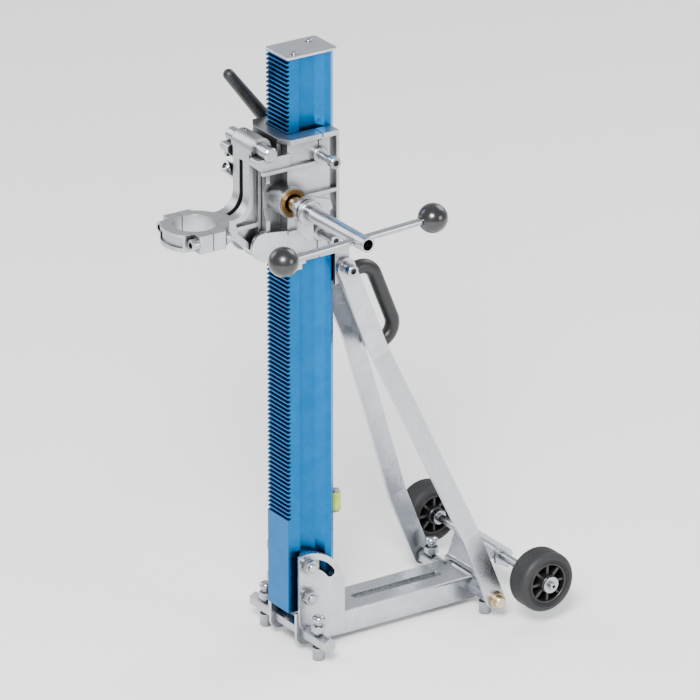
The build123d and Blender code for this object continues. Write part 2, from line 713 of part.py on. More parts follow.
def build_handle():
    """Round D-shaped carry handle."""
    base = STRUT_WIDTH / 2
    out = base + HANDLE_REACH
    low = HANDLE_TOP + HANDLE_SPAN
    points = [(HANDLE_TOP, 0, base), (HANDLE_TOP, 0, out), (low, 0, out), (low, 0, base)]
    path = FilletPolyline(*points, radius=HANDLE_CORNER)
    start = Plane(origin=points[0], z_dir=(0, 0, 1))
    handle = sweep(start * Circle(HANDLE_D / 2), path=path)
    for reach in (HANDLE_TOP, low):
        handle -= Pos(reach, 0, base + 7.5) * Cylinder(4, 15)
    return handle


def build_handle_screws():
    """Screws through the brace into the handle."""
    screws = []
    for reach in (HANDLE_TOP, HANDLE_TOP + HANDLE_SPAN):
        inner_face = STRUT_WIDTH / 2 - BRACE_SHEET
        screws.append(Pos(reach, 0, inner_face) * Rot(180, 0, 0) * cap_screw(8, 17))
    return Compound(children=screws)


def build_strut_top_bolt():
    """Screw and spacer at a strut's upper end, on the crank side."""
    outer = STRUT_TOP_X + STRUT_THICKNESS / 2 + FACE_GAP
    spacer = rod_x(14, outer, outer + 6, STRUT_PIVOT_Y, STRUT_PIVOT_Z)
    spacer -= rod_x(STRUT_BOLT_D, outer - 1, outer + 7, STRUT_PIVOT_Y, STRUT_PIVOT_Z)
    inner = HALF_WIDTH + SLIDER_GAP - 8
    screw = facing(outer + 6, STRUT_PIVOT_Y, STRUT_PIVOT_Z, (1, 0, 0)) * cap_screw(STRUT_BOLT_D, outer + 6 - inner)
    return spacer + screw


def build_strut_foot_bolt():
    """Bolt end and washers at a strut's lower end, on the crank side."""
    inner = STRUT_FOOT_X - STRUT_THICKNESS / 2
    outer = STRUT_FOOT_X + STRUT_THICKNESS / 2
    shank = rod_x(FOOT_BOLT_D, inner, outer + 13, REAR_BAR_Y, BAR_Z)
    washer = rod_x(24, outer, outer + 2, REAR_BAR_Y, BAR_Z)
    spring_washer = rod_x(22, outer + 2.4, outer + 5.4, REAR_BAR_Y, BAR_Z)
    return chamfer(shank.edges().sort_by(Axis.X)[-1], 1.2) + washer + spring_washer


def build_carriage():
    """Cast housing round the front and sides of the column."""
    top, bottom, half = CARRIAGE_TOP, CARRIAGE_BOTTOM, CARRIAGE_HALF
    cheek_top = PINION_HEIGHT + 41
    toe_top = TOE_Z + TOE_RADIUS - 4
    corner = 18.0
    upper_outline = [
        (-half - RIB_REACH, CARRIAGE_REAR),
        (-half - RIB_REACH, UPPER_FRONT + 11),
        (-half + corner - RIB_REACH, UPPER_FRONT),
        (half - corner + RIB_REACH, UPPER_FRONT),
        (half + RIB_REACH, UPPER_FRONT + 11),
        (half + RIB_REACH, CARRIAGE_REAR),
    ]
    body = top_plate(upper_outline, top - RIB - 2, top, 1.5)
    body += box(-half, half, UPPER_FRONT + 8, CARRIAGE_REAR, bottom, top - RIB)
    body += box(-half + corner - RIB_REACH, half - corner + RIB_REACH, UPPER_FRONT, WALL_FRONT, cheek_top, top - RIB)
    body += box(-22, 22, FACE_Y, WALL_FRONT + 1, bottom, cheek_top)
    face_points = [
        (-29, bottom + 4),
        (29, bottom + 4),
        (31, toe_top),
        (31, PINION_HEIGHT - 28),
        (24, PINION_HEIGHT - 12),
        (24, PINION_HEIGHT + 10),
        (31, PINION_HEIGHT + 24),
        (31, cheek_top),
        (-31, cheek_top),
        (-31, PINION_HEIGHT + 24),
        (-24, PINION_HEIGHT + 10),
        (-24, PINION_HEIGHT - 12),
        (-31, PINION_HEIGHT - 28),
        (-31, toe_top),
    ]
    wavy = fillet(Polygon(*face_points, align=None).vertices(), 3)
    body += Pos(0, FACE_Y, 0) * extrude(Plane.XZ * wavy, FACE_THICKNESS, dir=(0, 1, 0))
    body -= box(24, half + 1, UPPER_FRONT - 1, WALL_FRONT, toe_top, cheek_top)
    body -= box(-half - 1, -24, UPPER_FRONT - 1, WALL_FRONT, toe_top, cheek_top)
    for sign in (-1, 1):
        x0, x1 = sorted((sign * 20, sign * BOSS_END))
        body += rod_x(BOSS_D, x0, x1, PINION_Y, PINION_HEIGHT)
        body += toe_boss(sign)
        body += hook_lug(sign)
        body += side_ribs(sign)
        for z in (UPPER_ADJUSTER_Z, LOWER_ADJUSTER_Z):
            x2, x3 = sorted((sign * half, sign * (half + 7)))
            boss = rod_x(ADJUSTER_BOSS_D, x2, x3, ADJUSTER_Y, z)
            body += fillet(boss.faces().sort_by(Axis.X)[-1 if sign > 0 else 0].edges(), 2)
    clear_x = HALF_WIDTH + CARRIAGE_FIT
    body -= box(-clear_x, clear_x, -HALF_DEPTH - CARRIAGE_FIT, CARRIAGE_REAR + 1, bottom - 20, top + 1)
    gear_clear = PINION_RADIUS + GEAR_MODULE + 2
    body -= rod_x(2 * gear_clear, -24, 24, PINION_Y, PINION_HEIGHT)
    body -= box(-24, 24, PINION_Y, -HALF_DEPTH, PINION_HEIGHT - gear_clear, PINION_HEIGHT + gear_clear)
    body -= rod_x(BUSH_D, -BOSS_END + 4, BOSS_END + 1, PINION_Y, PINION_HEIGHT)
    for sign in (-1, 1):
        x4, x5 = sorted((sign * (half - GROOVE_AT_REAR), sign * half))
        body -= box(x4, x5, CARRIAGE_REAR - 11, CARRIAGE_REAR - 4, bottom + RIB + 1, top - RIB - 2)
        body -= pad_pocket(sign)
        body -= relief_slit(sign)
        for z in (UPPER_ADJUSTER_Z, LOWER_ADJUSTER_Z):
            x2, x3 = sorted((sign * 20, sign * 60))
            body -= rod_x(ADJUSTER_D, x2, x3, ADJUSTER_Y, z)
    body -= rod_x(ADJUSTER_D + 2 * BORE_FIT, -HALF_WIDTH - 25, -HALF_WIDTH, ADJUSTER_Y, UPPER_ADJUSTER_Z)
    body -= rod_x(PIN_D + 2 * PIN_FIT, -LUG_OUTER - 20, LUG_OUTER + 20, HOOK_Y, HOOK_Z)
    return body


def toe_boss(sign):
    """Round boss beside the foot of the machine holder, cut back towards the side wall."""
    x0, x1 = sorted((sign * (ARM_HALF + 2.5), sign * CARRIAGE_HALF))
    boss = rod_x(2 * TOE_RADIUS, x0, x1, TOE_Y, TOE_Z)
    boss += box(x0, x1, TOE_Y, WALL_FRONT + 2, TOE_Z - TOE_RADIUS, TOE_Z + TOE_RADIUS)
    start, finish = ARM_HALF + 7, CARRIAGE_HALF + 0.5
    wedge = [
        (sign * start, TOE_Y - TOE_RADIUS - 1),
        (sign * (finish + 8), TOE_Y - TOE_RADIUS - 1),
        (sign * (finish + 8), WALL_FRONT + 4),
        (sign * finish, WALL_FRONT + 4),
    ]
    return boss - top_plate(wedge, TOE_Z - 40, TOE_Z + 40)


def hook_lug(sign):
    """Saddle that one end of the hook pin drops into."""
    x0, x1 = sorted((sign * LUG_INNER, sign * LUG_OUTER))
    low = HOOK_Z - 26
    points = [
        (HOOK_Y - 20, HOOK_Z - 6),
        (WALL_FRONT + 4, HOOK_Z - 6),
        (WALL_FRONT + 4, low - 4),
        (HOOK_Y - 8, low),
        (HOOK_Y - 20, low + 10),
    ]
    face = Polygon(*points, align=None)
    front = face.vertices().sort_by(lambda v: v.X)[0:2]
    face = fillet(front, 4)
    return Pos(x0, 0, 0) * extrude(Plane.YZ * face, x1 - x0, dir=(1, 0, 0))


def side_ribs(sign):
    """Raised ribs on a side wall."""
    x0, x1 = sorted((sign * (CARRIAGE_HALF - 1), sign * (CARRIAGE_HALF + RIB_REACH)))
    low, top, rear = CARRIAGE_BOTTOM, CARRIAGE_TOP, CARRIAGE_REAR
    ribs = box(x0, x1, HOOK_Y - 12, ADJUSTER_Y, HOOK_Z - 28, HOOK_Z - 28 + RIB)
    ribs += box(x0, x1, WALL_FRONT + 10, rear, PINION_HEIGHT - 2, PINION_HEIGHT - 2 + RIB)
    ribs += box(x0, x1, WALL_FRONT, -20, TOE_Z + TOE_RADIUS - 4, TOE_Z + TOE_RADIUS - 4 + RIB)
    ribs += box(x0, x1, rear - 4, rear, low, top)
    ribs += box(x0, x1, WALL_FRONT + 14, rear, low, low + RIB + 1)
    ribs -= box(x0 - 1, x1 + 1, HOOK_Y - 30, WALL_FRONT, top - 100, top) - box(
        x0 - 1, x1 + 1, HOOK_Y - 12, WALL_FRONT, HOOK_Z - 28, HOOK_Z - 28 + RIB)
    lip = box(x0, x1, WALL_FRONT + 12, WALL_FRONT + 26, low - 11, low + 8)
    hook = lip - box(x0 - 1, x1 + 1, WALL_FRONT + 20, WALL_FRONT + 30, low - 12, low - 4)
    return ribs + hook


def pad_pocket(sign):
    """Pockets in a side wall for the two guide pads."""
    pocket = None
    for z in (UPPER_ADJUSTER_Z, LOWER_ADJUSTER_Z):
        x0, x1 = sorted((sign * (HALF_WIDTH - 1), sign * (HALF_WIDTH + 5)))
        cut = box(x0, x1, pad_front(), pad_rear(), z - PAD_LENGTH / 2, z + PAD_LENGTH / 2)
        pocket = cut if pocket is None else pocket + cut
    return pocket


def relief_slit(sign):
    """Saw cuts that let the ends of a side wall spring when its screws are set."""
    x0, x1 = sorted((sign * (HALF_WIDTH - 1), sign * (CARRIAGE_HALF + 10)))
    y = ADJUSTER_Y + 3
    turn_z = UPPER_ADJUSTER_Z + 20
    upper = box(x0, x1, y, y + SLIT, turn_z, CARRIAGE_TOP + 1)
    upper += box(x0, x1, y - 4, y + SLIT, turn_z - SLIT, turn_z)
    upper += box(x0, x1, y - 4, y - 4 + SLIT, UPPER_ADJUSTER_Z + 8, turn_z)
    lower = box(x0, x1, y - 6, y - 6 + SLIT, CARRIAGE_BOTTOM - 1, LOWER_ADJUSTER_Z - 9)
    return upper + lower


def pad_front():
    """Front edge of the guide pads."""
    return -HALF_DEPTH + FRONT_LAND + PAD_FIT


def pad_rear():
    """Rear edge of the guide pads."""
    return RECESS_SLOPE_START + 4


def build_guide_pad(z):
    """Sliding pad between a side wall and the column's recess, on the crank side."""
    floor = HALF_WIDTH - RECESS_DEPTH + PAD_FIT
    slope = (REAR_LAND_START - RECESS_SLOPE_START) / RECESS_DEPTH
    back = HALF_WIDTH + 5
    flank = RECESS_SLOPE_START - 2 * PAD_FIT
    rise = (pad_rear() - flank) / slope
    points = [
        (floor, pad_front()),
        (back, pad_front()),
        (back, pad_rear()),
        (floor + rise, pad_rear()),
        (floor, flank),
    ]
    return top_plate(points, z - PAD_LENGTH / 2, z + PAD_LENGTH / 2)


def build_adjuster(z):
    """Long socket screw that sets a guide pad, on the crank side."""
    start = HALF_WIDTH + 5
    seat = CARRIAGE_HALF + 7 + ADJUSTER_REACH - ADJUSTER_D
    return facing(seat, ADJUSTER_Y, z, (1, 0, 0)) * cap_screw(ADJUSTER_D, seat - start)


def build_bush():
    """Flanged bronze bearing of the pinion shaft, on the crank side."""
    start = BOSS_END - BUSH_LENGTH
    bush = rod_x(BUSH_D, start, BOSS_END, PINION_Y, PINION_HEIGHT)
    bush += rod_x(BUSH_D + 1.5, BOSS_END, BOSS_END + 1.5, PINION_Y, PINION_HEIGHT)
    bush -= rod_x(BUSH_RECESS_D, BOSS_END + 1.5 - BUSH_RECESS, BOSS_END + 3, PINION_Y, PINION_HEIGHT)
    return bush - rod_x(SHAFT_D + 2 * JOURNAL_FIT, start - 1, BOSS_END + 3, PINION_Y, PINION_HEIGHT)


def build_blind_bush():
    """Plain bronze bearing in the closed boss."""
    start, end = -BOSS_END + 4, -BOSS_END + 4 + BUSH_LENGTH
    bush = rod_x(BUSH_D, start, end, PINION_Y, PINION_HEIGHT)
    return bush - rod_x(SHAFT_D + 2 * JOURNAL_FIT, start - 1, end + 1, PINION_Y, PINION_HEIGHT)


def build_pinion_shaft():
    """Pinion cut on its shaft, with one tooth in the rack gap at its own height."""
    tip = PINION_RADIUS + GEAR_MODULE
    root = PINION_RADIUS - 1.25 * GEAR_MODULE
    half_pitch = (PITCH / 2 - TOOTH_SLACK) / 2
    profile = Circle(root)
    for index in range(PINION_TEETH):
        points = [
            (root - 1, -half_pitch - 0.5),
            (PINION_RADIUS, -half_pitch),
            (PINION_RADIUS + 1.0, -half_pitch + 0.42),
            (tip, -half_pitch + 1.05),
            (tip, half_pitch - 1.05),
            (PINION_RADIUS + 1.0, half_pitch - 0.42),
            (PINION_RADIUS, half_pitch),
            (root - 1, half_pitch + 0.5),
        ]
        profile += Rot(0, 0, index * 360 / PINION_TEETH) * Polygon(*points, align=None)
    half = PINION_WIDTH / 2
    gear = Pos(-half, PINION_Y, PINION_HEIGHT) * extrude(Plane.YZ * profile, PINION_WIDTH)
    neck = rod_x(SHAFT_D - 3, -half - NECK_LENGTH, half + NECK_LENGTH, PINION_Y, PINION_HEIGHT)
    left = rod_x(SHAFT_D, -BOSS_END + 5, -half - NECK_LENGTH, PINION_Y, PINION_HEIGHT)
    right = rod_x(SHAFT_D, half + NECK_LENGTH, HUB_START + 12, PINION_Y, PINION_HEIGHT)
    return gear + neck + left + right


def build_crank_hub():
    """Grooved hub keyed on the pinion shaft."""
    hub = rod_x(HUB_D, HUB_START, HUB_END, PINION_Y, PINION_HEIGHT)
    hub = fillet(hub.edges().filter_by(GeomType.CIRCLE), 2)
    groove = rod_x(HUB_D + 2, HUB_START + 9, HUB_START + 12, PINION_Y, PINION_HEIGHT)
    hub -= groove - rod_x(HUB_D - 4, HUB_START + 8, HUB_START + 13, PINION_Y, PINION_HEIGHT)
    hub -= rod_x(SHAFT_D, HUB_START - 1, HUB_START + 12, PINION_Y, PINION_HEIGHT)
    return hub - rod_x(TUBE_D, HUB_START + 12, HUB_END + 1, PINION_Y, PINION_HEIGHT)


def build_crank_tube():
    """Long hollow crank tube, cross drilled for the rod."""
    tube = rod_x(TUBE_D, HUB_START + 12, TUBE_END, PINION_Y, PINION_HEIGHT)
    tube -= rod_x(TUBE_BORE, HUB_START + 16, TUBE_END + 1, PINION_Y, PINION_HEIGHT)
    return tube - crank_rod_bar(ROD_D, 2 * TUBE_D)


def crank_rod_bar(diameter, length):
    """Bar through the crank tube at the rod's place."""
    turned = Rot(ROD_TILT, 0, 0) * Rot(90, 0, 0) * Cylinder(diameter / 2, length)
    return Pos(ROD_X, PINION_Y, PINION_HEIGHT) * turned


def ball_place(sign):
    """Centre of a ball knob; sign -1 is the drill side."""
    angle = math.radians(ROD_TILT)
    return ROD_X, PINION_Y + sign * ROD_HALF * math.cos(angle), PINION_HEIGHT + sign * ROD_HALF * math.sin(angle)


def build_crank_rod():
    """Cross rod that the ball knobs are screwed on."""
    return crank_rod_bar(ROD_D, 2 * ROD_HALF)


def build_ball_knob(sign):
    """Ball knob with a small flat round its hole."""
    direction = Vector(0, sign * math.cos(math.radians(ROD_TILT)), sign * math.sin(math.radians(ROD_TILT)))
    ball = Sphere(BALL_D / 2)
    ball -= Pos(0, 0, -BALL_D / 2) * Box(BALL_D, BALL_D, 3.6)
    ball -= Pos(0, 0, -BALL_D / 4) * Cylinder(ROD_D / 2, BALL_D / 2)
    return facing(*ball_place(sign), direction) * ball


def build_drive_plate():
    """Two-armed plate behind the crank hub."""
    y, z = PINION_Y, PINION_HEIGHT
    points = [
        (y - 13, z + 9),
        (y + 10, z + 15),
        (y + 42, z + 4),
        (y + 46, z - 9),
        (y + 36, z - 14),
        (y + 19, z - 12),
        (y + 15, z - 22),
        (y + 17, z - 46),
        (y + 9, z - 49),
        (y - 5, z - 32),
    ]
    plate = side_plate(points, HUB_START - 7, HUB_START, 2.5)
    return plate - rod_x(SHAFT_D, HUB_START - 8, HUB_START + 1, y, z)


def build_holder():
    """Cast machine holder: barrel, grooved arm, webs and the fixed half of the collar."""
    floor = COLLAR_TOP - COLLAR_HEIGHT
    neck_y = COLLAR_Y + COLLAR_D / 2 - 12
    outline = [
        (HOOK_Y - BARREL_D / 2, HOOK_Z, 0),
        (ARM_FRONT, COLLAR_TOP, 27),
        (neck_y, COLLAR_TOP, 0),
        (neck_y, floor, 0),
        (ARM_FRONT - 24, floor, 14),
        (ARM_BACK, TOE_Z - TOE_RADIUS, 2),
        (ARM_BACK, HOOK_Z, 0),
    ]
    arm = curved_side_plate(outline, -ARM_HALF, ARM_HALF)
    for sign in (-1, 1):
        x0, x1 = sorted((sign * WEB_HALF, sign * (ARM_HALF + 1)))
        upper = [
            (ARM_FRONT + 6, HOOK_Z - 20, 2),
            (ARM_FRONT + 6, COLLAR_TOP - 6, 22),
            (ARM_FRONT - 20, COLLAR_TOP - 6, 1),
            (ARM_FRONT - 20, floor + 13, 1),
            (ARM_BACK - 4, floor + 13, 2),
            (ARM_BACK - 4, HOOK_Z - 20, 2),
        ]
        lower = [
            (ARM_FRONT - 18, floor + 7, 1),
            (ARM_FRONT - 18, floor + 4, 1),
            (ARM_BACK - 4, TOE_Z - TOE_RADIUS + 13, 2),
            (ARM_BACK - 4, floor + 7, 1),
        ]
        arm -= curved_side_plate(upper, x0, x1)
        arm -= curved_side_plate(lower, x0, x1)
    arm += rod_x(BARREL_D, -BARREL_HALF, BARREL_HALF, HOOK_Y, HOOK_Z)
    groove_y = ARM_FRONT + GROOVE_DEPTH
    groove_z = COLLAR_TOP - GROOVE_DEPTH
    groove = [
        (HOOK_Y - BARREL_D, HOOK_Z - 18, 0),
        (groove_y, HOOK_Z - 18, 3),
        (groove_y, groove_z, 27 + GROOVE_DEPTH),
        (neck_y + 7, groove_z, 1.5),
        (neck_y + 7, COLLAR_TOP + 60, 0),
    ]
    arm -= curved_side_plate(groove, -GROOVE_WIDTH / 2, GROOVE_WIDTH / 2)
    split_y = COLLAR_Y + COLLAR_SPLIT / 2
    ring = Pos(0, COLLAR_Y) * Circle(COLLAR_D / 2)
    block = Pos(0, COLLAR_Y) * Rectangle(2 * COLLAR_WING, 2 * COLLAR_BLOCK)
    neck = Pos(0, (COLLAR_Y + ARM_FRONT - 20) / 2) * Rectangle(2 * ARM_HALF, ARM_FRONT - 20 - COLLAR_Y)
    outline = fillet((ring + block).vertices(), 3) + neck
    collar = Pos(0, 0, floor) * extrude(outline, COLLAR_HEIGHT)
    collar -= box(-60, 60, COLLAR_Y - 80, split_y, floor - 1, COLLAR_TOP + 1)
    body = arm + collar
    body -= rod_z(COLLAR_BORE, floor - 1, COLLAR_TOP + 1, 0, COLLAR_Y)
    body -= rod_x(PIN_D, -BARREL_HALF - 1, BARREL_HALF + 1, HOOK_Y, HOOK_Z)
    for sign in (-1, 1):
        body -= rod_y(CLAMP_SCREW_D, COLLAR_Y - 1, COLLAR_Y + 60, sign * CLAMP_SCREW_X, clamp_z())
        seat_y = COLLAR_Y + COLLAR_BLOCK
        body -= rod_y(NUT_D + 1, seat_y, seat_y + 20, sign * CLAMP_SCREW_X, clamp_z())
    body -= rod_z(6, HOOK_Z, HOOK_Z + BARREL_D, -14, HOOK_Y)
    body += lock_ear()
    return body - facing(*lock_screw_place(), lock_screw_axis()) * Pos(0, 0, -16) * Cylinder(5, 40)


def clamp_z():
    """Height of the collar's clamp screws."""
    return COLLAR_TOP - COLLAR_HEIGHT / 2


def build_collar_cap():
    """Loose front half of the collar, with a shallow band round it."""
    floor = COLLAR_TOP - COLLAR_HEIGHT
    split_y = COLLAR_Y - COLLAR_SPLIT / 2
    ring = Pos(0, COLLAR_Y) * Circle(COLLAR_D / 2)
    block = Pos(0, COLLAR_Y) * Rectangle(2 * COLLAR_WING, 2 * COLLAR_BLOCK)
    outline = ring + fillet(block.vertices(), 3)
    seat_y = COLLAR_Y - COLLAR_BLOCK
    reach = COLLAR_D / 2 - CLAMP_SCREW_X + (NUT_D + 1) / 2
    for sign in (-1, 1):
        middle = CLAMP_SCREW_X - (NUT_D + 1) / 2 + reach / 2
        outline -= Pos(sign * middle, seat_y - 20) * Rectangle(reach, 40)
    cap = Pos(0, 0, floor) * extrude(outline, COLLAR_HEIGHT)
    band = rod_z(COLLAR_D + 8, floor + 6, COLLAR_TOP - 5, 0, COLLAR_Y)
    band -= rod_z(COLLAR_D - 6, floor, COLLAR_TOP, 0, COLLAR_Y)
    band &= box(-27, 27, COLLAR_Y - 80, COLLAR_Y, floor, COLLAR_TOP)
    cap -= band
    cap -= box(-60, 60, split_y, COLLAR_Y + 80, floor - 1, COLLAR_TOP + 1)
    cap -= rod_z(COLLAR_BORE, floor - 1, COLLAR_TOP + 1, 0, COLLAR_Y)
    for sign in (-1, 1):
        cap -= rod_y(CLAMP_SCREW_D, COLLAR_Y - 60, COLLAR_Y + 1, sign * CLAMP_SCREW_X, clamp_z())
    return cap


def build_collar_screws():
    """Two socket screws through the collar halves."""
    screws = []
    for sign in (-1, 1):
        place = facing(sign * CLAMP_SCREW_X, COLLAR_Y - COLLAR_BLOCK, clamp_z(), (0, -1, 0))
        screws.append(place * cap_screw(CLAMP_SCREW_D, 2 * COLLAR_BLOCK + 9))
    return Compound(children=screws)


def build_collar_nuts():
    """Round nuts behind the collar."""
    nuts = []
    for sign in (-1, 1):
        back = COLLAR_Y + COLLAR_BLOCK
        nut = rod_y(NUT_D, back, back + 8, sign * CLAMP_SCREW_X, clamp_z())
        nut = fillet(nut.edges().sort_by(Axis.Y)[-1], 1.5)
        nuts.append(nut - rod_y(CLAMP_SCREW_D, back - 1, back + 9, sign * CLAMP_SCREW_X, clamp_z()))
    return Compound(children=nuts)


def lock_screw_axis():
    """Direction that the holder's lock screw points to, head first."""
    return 0, -math.cos(math.radians(LEVER_LEAN)), math.sin(math.radians(LEVER_LEAN))


def lock_screw_place():
    """Seat of the lock screw's head."""
    return -31.0, -92.0, 688.0


def lock_ear():
    """Ear on the holder's far side that the lock screw goes through."""
    points = [(-93, 680), (-86, 693), (ARM_BACK, 690), (ARM_BACK, 668), (-86, 672)]
    return side_plate(points, -39, -ARM_HALF + 0.5, 1.5)


def build_lock_screw():
    """Socket screw that holds the holder's foot to the carriage."""
    return facing(*lock_screw_place(), lock_screw_axis()) * cap_screw(10, 14)


def build_hook_pin():
    """Pin that hangs the holder in the carriage's saddles."""
    pin = rod_x(PIN_D, -PIN_HALF, PIN_HALF, HOOK_Y, HOOK_Z)
    return chamfer(pin.edges().filter_by(GeomType.CIRCLE), 1.5)


def build_pin_screw():
    """Grub screw in the barrel that holds the pin."""
    screw = rod_z(6, HOOK_Z + PIN_D / 2, HOOK_Z + BARREL_D / 2 + 1, -14, HOOK_Y)
    socket = Pos(-14, HOOK_Y, HOOK_Z + BARREL_D / 2 - 2) * extrude(RegularPolygon(1.5, 6, major_radius=False), 4)
    return screw - socket


def build_lever():
    """Tapered lever of the feed lock, leaning to the drill side."""
    direction = (0, -math.sin(math.radians(LEVER_LEAN)), math.cos(math.radians(LEVER_LEAN)))
    hub = rod_x(26, LEVER_X - 8, LEVER_X + 8, ADJUSTER_Y, UPPER_ADJUSTER_Z)
    hub = fillet(hub.edges().filter_by(GeomType.CIRCLE), 2)
    arm = Pos(0, 0, LEVER_LENGTH / 2) * Cone(LEVER_ROOT_D / 2, LEVER_TIP_D / 2, LEVER_LENGTH)
    tip = Pos(0, 0, LEVER_LENGTH) * Sphere(LEVER_TIP_D / 2)
    grip = facing(LEVER_X, ADJUSTER_Y, UPPER_ADJUSTER_Z, direction) * (arm + tip)
    return hub + grip - rod_x(ADJUSTER_D, LEVER_X - 20, LEVER_X + 20, ADJUSTER_Y, UPPER_ADJUSTER_Z)


def build_lever_stud():
    """Stud of the lock lever, which presses on a guide pad."""
    start = LEVER_X - 10
    stud = rod_x(ADJUSTER_D, start, -HALF_WIDTH - 5, ADJUSTER_Y, UPPER_ADJUSTER_Z)
    return stud + rod_x(15, start - 4, start, ADJUSTER_Y, UPPER_ADJUSTER_Z)


def corner_places():
    """Name, x and y of each levelling screw."""
    return [
        ("front_right", SCREW_X, FRONT_BAR_Y),
        ("front_left", -SCREW_X, FRONT_BAR_Y),
        ("rear_right", SCREW_X, REAR_BAR_Y),
        ("rear_left", -SCREW_X, REAR_BAR_Y),
    ]


def build_all():
    """Every node by name, in the working frame."""
    in_strut_plane = strut_plane().location
    strut = in_strut_plane * build_strut()
    pads = build_guide_pad(UPPER_ADJUSTER_Z) + build_guide_pad(LOWER_ADJUSTER_Z)
    adjusters = [build_adjuster(UPPER_ADJUSTER_Z), build_adjuster(LOWER_ADJUSTER_Z)]
    adjusters.append(mirrored(adjusters[1]))
    nodes = {
        "column": build_column(),
        "cap_plate": build_cap_plate(),
        "cap_screws": build_cap_screws(),
        "foot_plates": pair(build_foot_plate()),
        "foot_bolts": Compound(children=[build_foot_bolt(z) for z in foot_bolt_heights()]),
        "foot_nuts": Compound(children=[build_foot_nut(z) for z in foot_bolt_heights()]),
        "level_vial": build_level_vial(),
        "level_caps": build_level_caps(),
        "base_channel": build_base_channel(),
        "ears": pair(build_ear()),
        "front_crossbar": build_crossbar(FRONT_BAR_Y, FRONT_BAR_HALF),
        "rear_crossbar": build_rear_crossbar(),
        "axle_bracket": build_axle_bracket(),
        "axle": build_axle(),
        "axle_collars": pair(build_axle_collar()),
        "axle_screws": pair(build_axle_screw()),
        "tyre_right": build_tyre(),
        "tyre_left": mirrored(build_tyre()),
        "rim_right": build_rim(),
        "rim_left": mirrored(build_rim()),
        "wheel_bush_right": build_wheel_bush(),
        "wheel_bush_left": mirrored(build_wheel_bush()),
        "strut_slider": build_strut_slider(),
        "tee_nut": build_tee_nut(),
        "slider_screw": build_slider_screw(),
        "strut_left": strut,
        "strut_right": mirrored(strut),
        "strut_brace": in_strut_plane * build_brace(),
        "carry_handle": in_strut_plane * build_handle(),
        "handle_screws": in_strut_plane * build_handle_screws(),
        "strut_top_bolts": pair(build_strut_top_bolt()),
        "strut_foot_bolts": pair(build_strut_foot_bolt()),
        "carriage": build_carriage(),
        "guide_pads": pair(pads),
        "adjusters": Compound(children=adjusters),
        "shaft_bushes": Compound(children=[build_bush(), build_blind_bush()]),
        "pinion_shaft": build_pinion_shaft(),
        "drive_plate": build_drive_plate(),
        "crank_hub": build_crank_hub(),
        "crank_tube": build_crank_tube(),
        "crank_rod": build_crank_rod(),
        "ball_knobs": Compound(children=[build_ball_knob(-1), build_ball_knob(1)]),
        "machine_holder": build_holder(),
        "collar_cap": build_collar_cap(),
        "collar_screws": build_collar_screws(),
        "collar_nuts": build_collar_nuts(),
        "hook_pin": build_hook_pin(),
        "holder_screws": Compound(children=[build_pin_screw(), build_lock_screw()]),
        "lock_lever": build_lever(),
        "lever_stud": build_lever_stud(),
    }
    for name, x, y in corner_places():
        nodes["level_screw_" + name] = build_level_screw(x, y)
        nodes["level_foot_" + name] = build_level_pad(x, y) + build_level_nut(x, y)
    return nodes


def main():
    """Build every node, put the origin at the middle of the footprint and write the files."""
    nodes = build_all()
    boxes = [shape.bounding_box() for shape in nodes.values()]
    low = [min(getattr(each.min, axis) for each in boxes) for axis in "XYZ"]
    high = [max(getattr(each.max, axis) for each in boxes) for axis in "XYZ"]
    shift = Pos(-(low[0] + high[0]) / 2, -(low[1] + high[1]) / 2, -low[2])
    os.makedirs("parts", exist_ok=True)
    for name, shape in nodes.items():
        export_step(shift * shape, "parts/" + name + ".step")
    print("origin shift", shift.position)
    print("nodes", len(nodes), "from", low, "to", high)


main()
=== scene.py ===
"""Looks of a core drill rig: finishes for its frame, detailed wheels, and the bubble of its spirit level."""
from __future__ import annotations

import logging
import math
from dataclasses import dataclass, field
from enum import Enum

import bpy
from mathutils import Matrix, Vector

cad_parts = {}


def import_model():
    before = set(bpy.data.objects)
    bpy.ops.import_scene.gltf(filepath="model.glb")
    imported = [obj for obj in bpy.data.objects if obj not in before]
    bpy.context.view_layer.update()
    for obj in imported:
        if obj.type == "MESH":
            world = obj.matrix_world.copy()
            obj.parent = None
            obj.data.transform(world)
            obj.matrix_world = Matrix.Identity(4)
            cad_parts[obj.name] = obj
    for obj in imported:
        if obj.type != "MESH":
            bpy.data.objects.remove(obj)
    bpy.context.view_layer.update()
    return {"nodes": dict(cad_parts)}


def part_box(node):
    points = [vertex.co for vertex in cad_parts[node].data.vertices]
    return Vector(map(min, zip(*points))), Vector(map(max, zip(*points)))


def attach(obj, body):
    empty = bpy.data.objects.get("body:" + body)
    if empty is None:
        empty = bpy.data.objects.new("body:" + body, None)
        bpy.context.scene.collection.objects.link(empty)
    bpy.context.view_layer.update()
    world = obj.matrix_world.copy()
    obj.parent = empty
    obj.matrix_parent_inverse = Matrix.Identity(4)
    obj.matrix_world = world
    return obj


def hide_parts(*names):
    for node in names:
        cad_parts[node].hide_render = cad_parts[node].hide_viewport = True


LOG = logging.getLogger("core_drill_rig")
MM = 0.001
Colour = tuple[float, float, float]
Point = tuple[float, float, float]


class Surface(Enum):
    """The fine structure that a finish has."""

    EXTRUDED = "extruded"
    CAST = "cast"
    PLATED = "plated"
    TURNED = "turned"
    MOULDED = "moulded"
    POLISHED = "polished"
    RUBBER = "rubber"
    CLEAR = "clear"


class Axis(Enum):
    """Axes of the shared frame."""

    X = 0
    Y = 1
    Z = 2


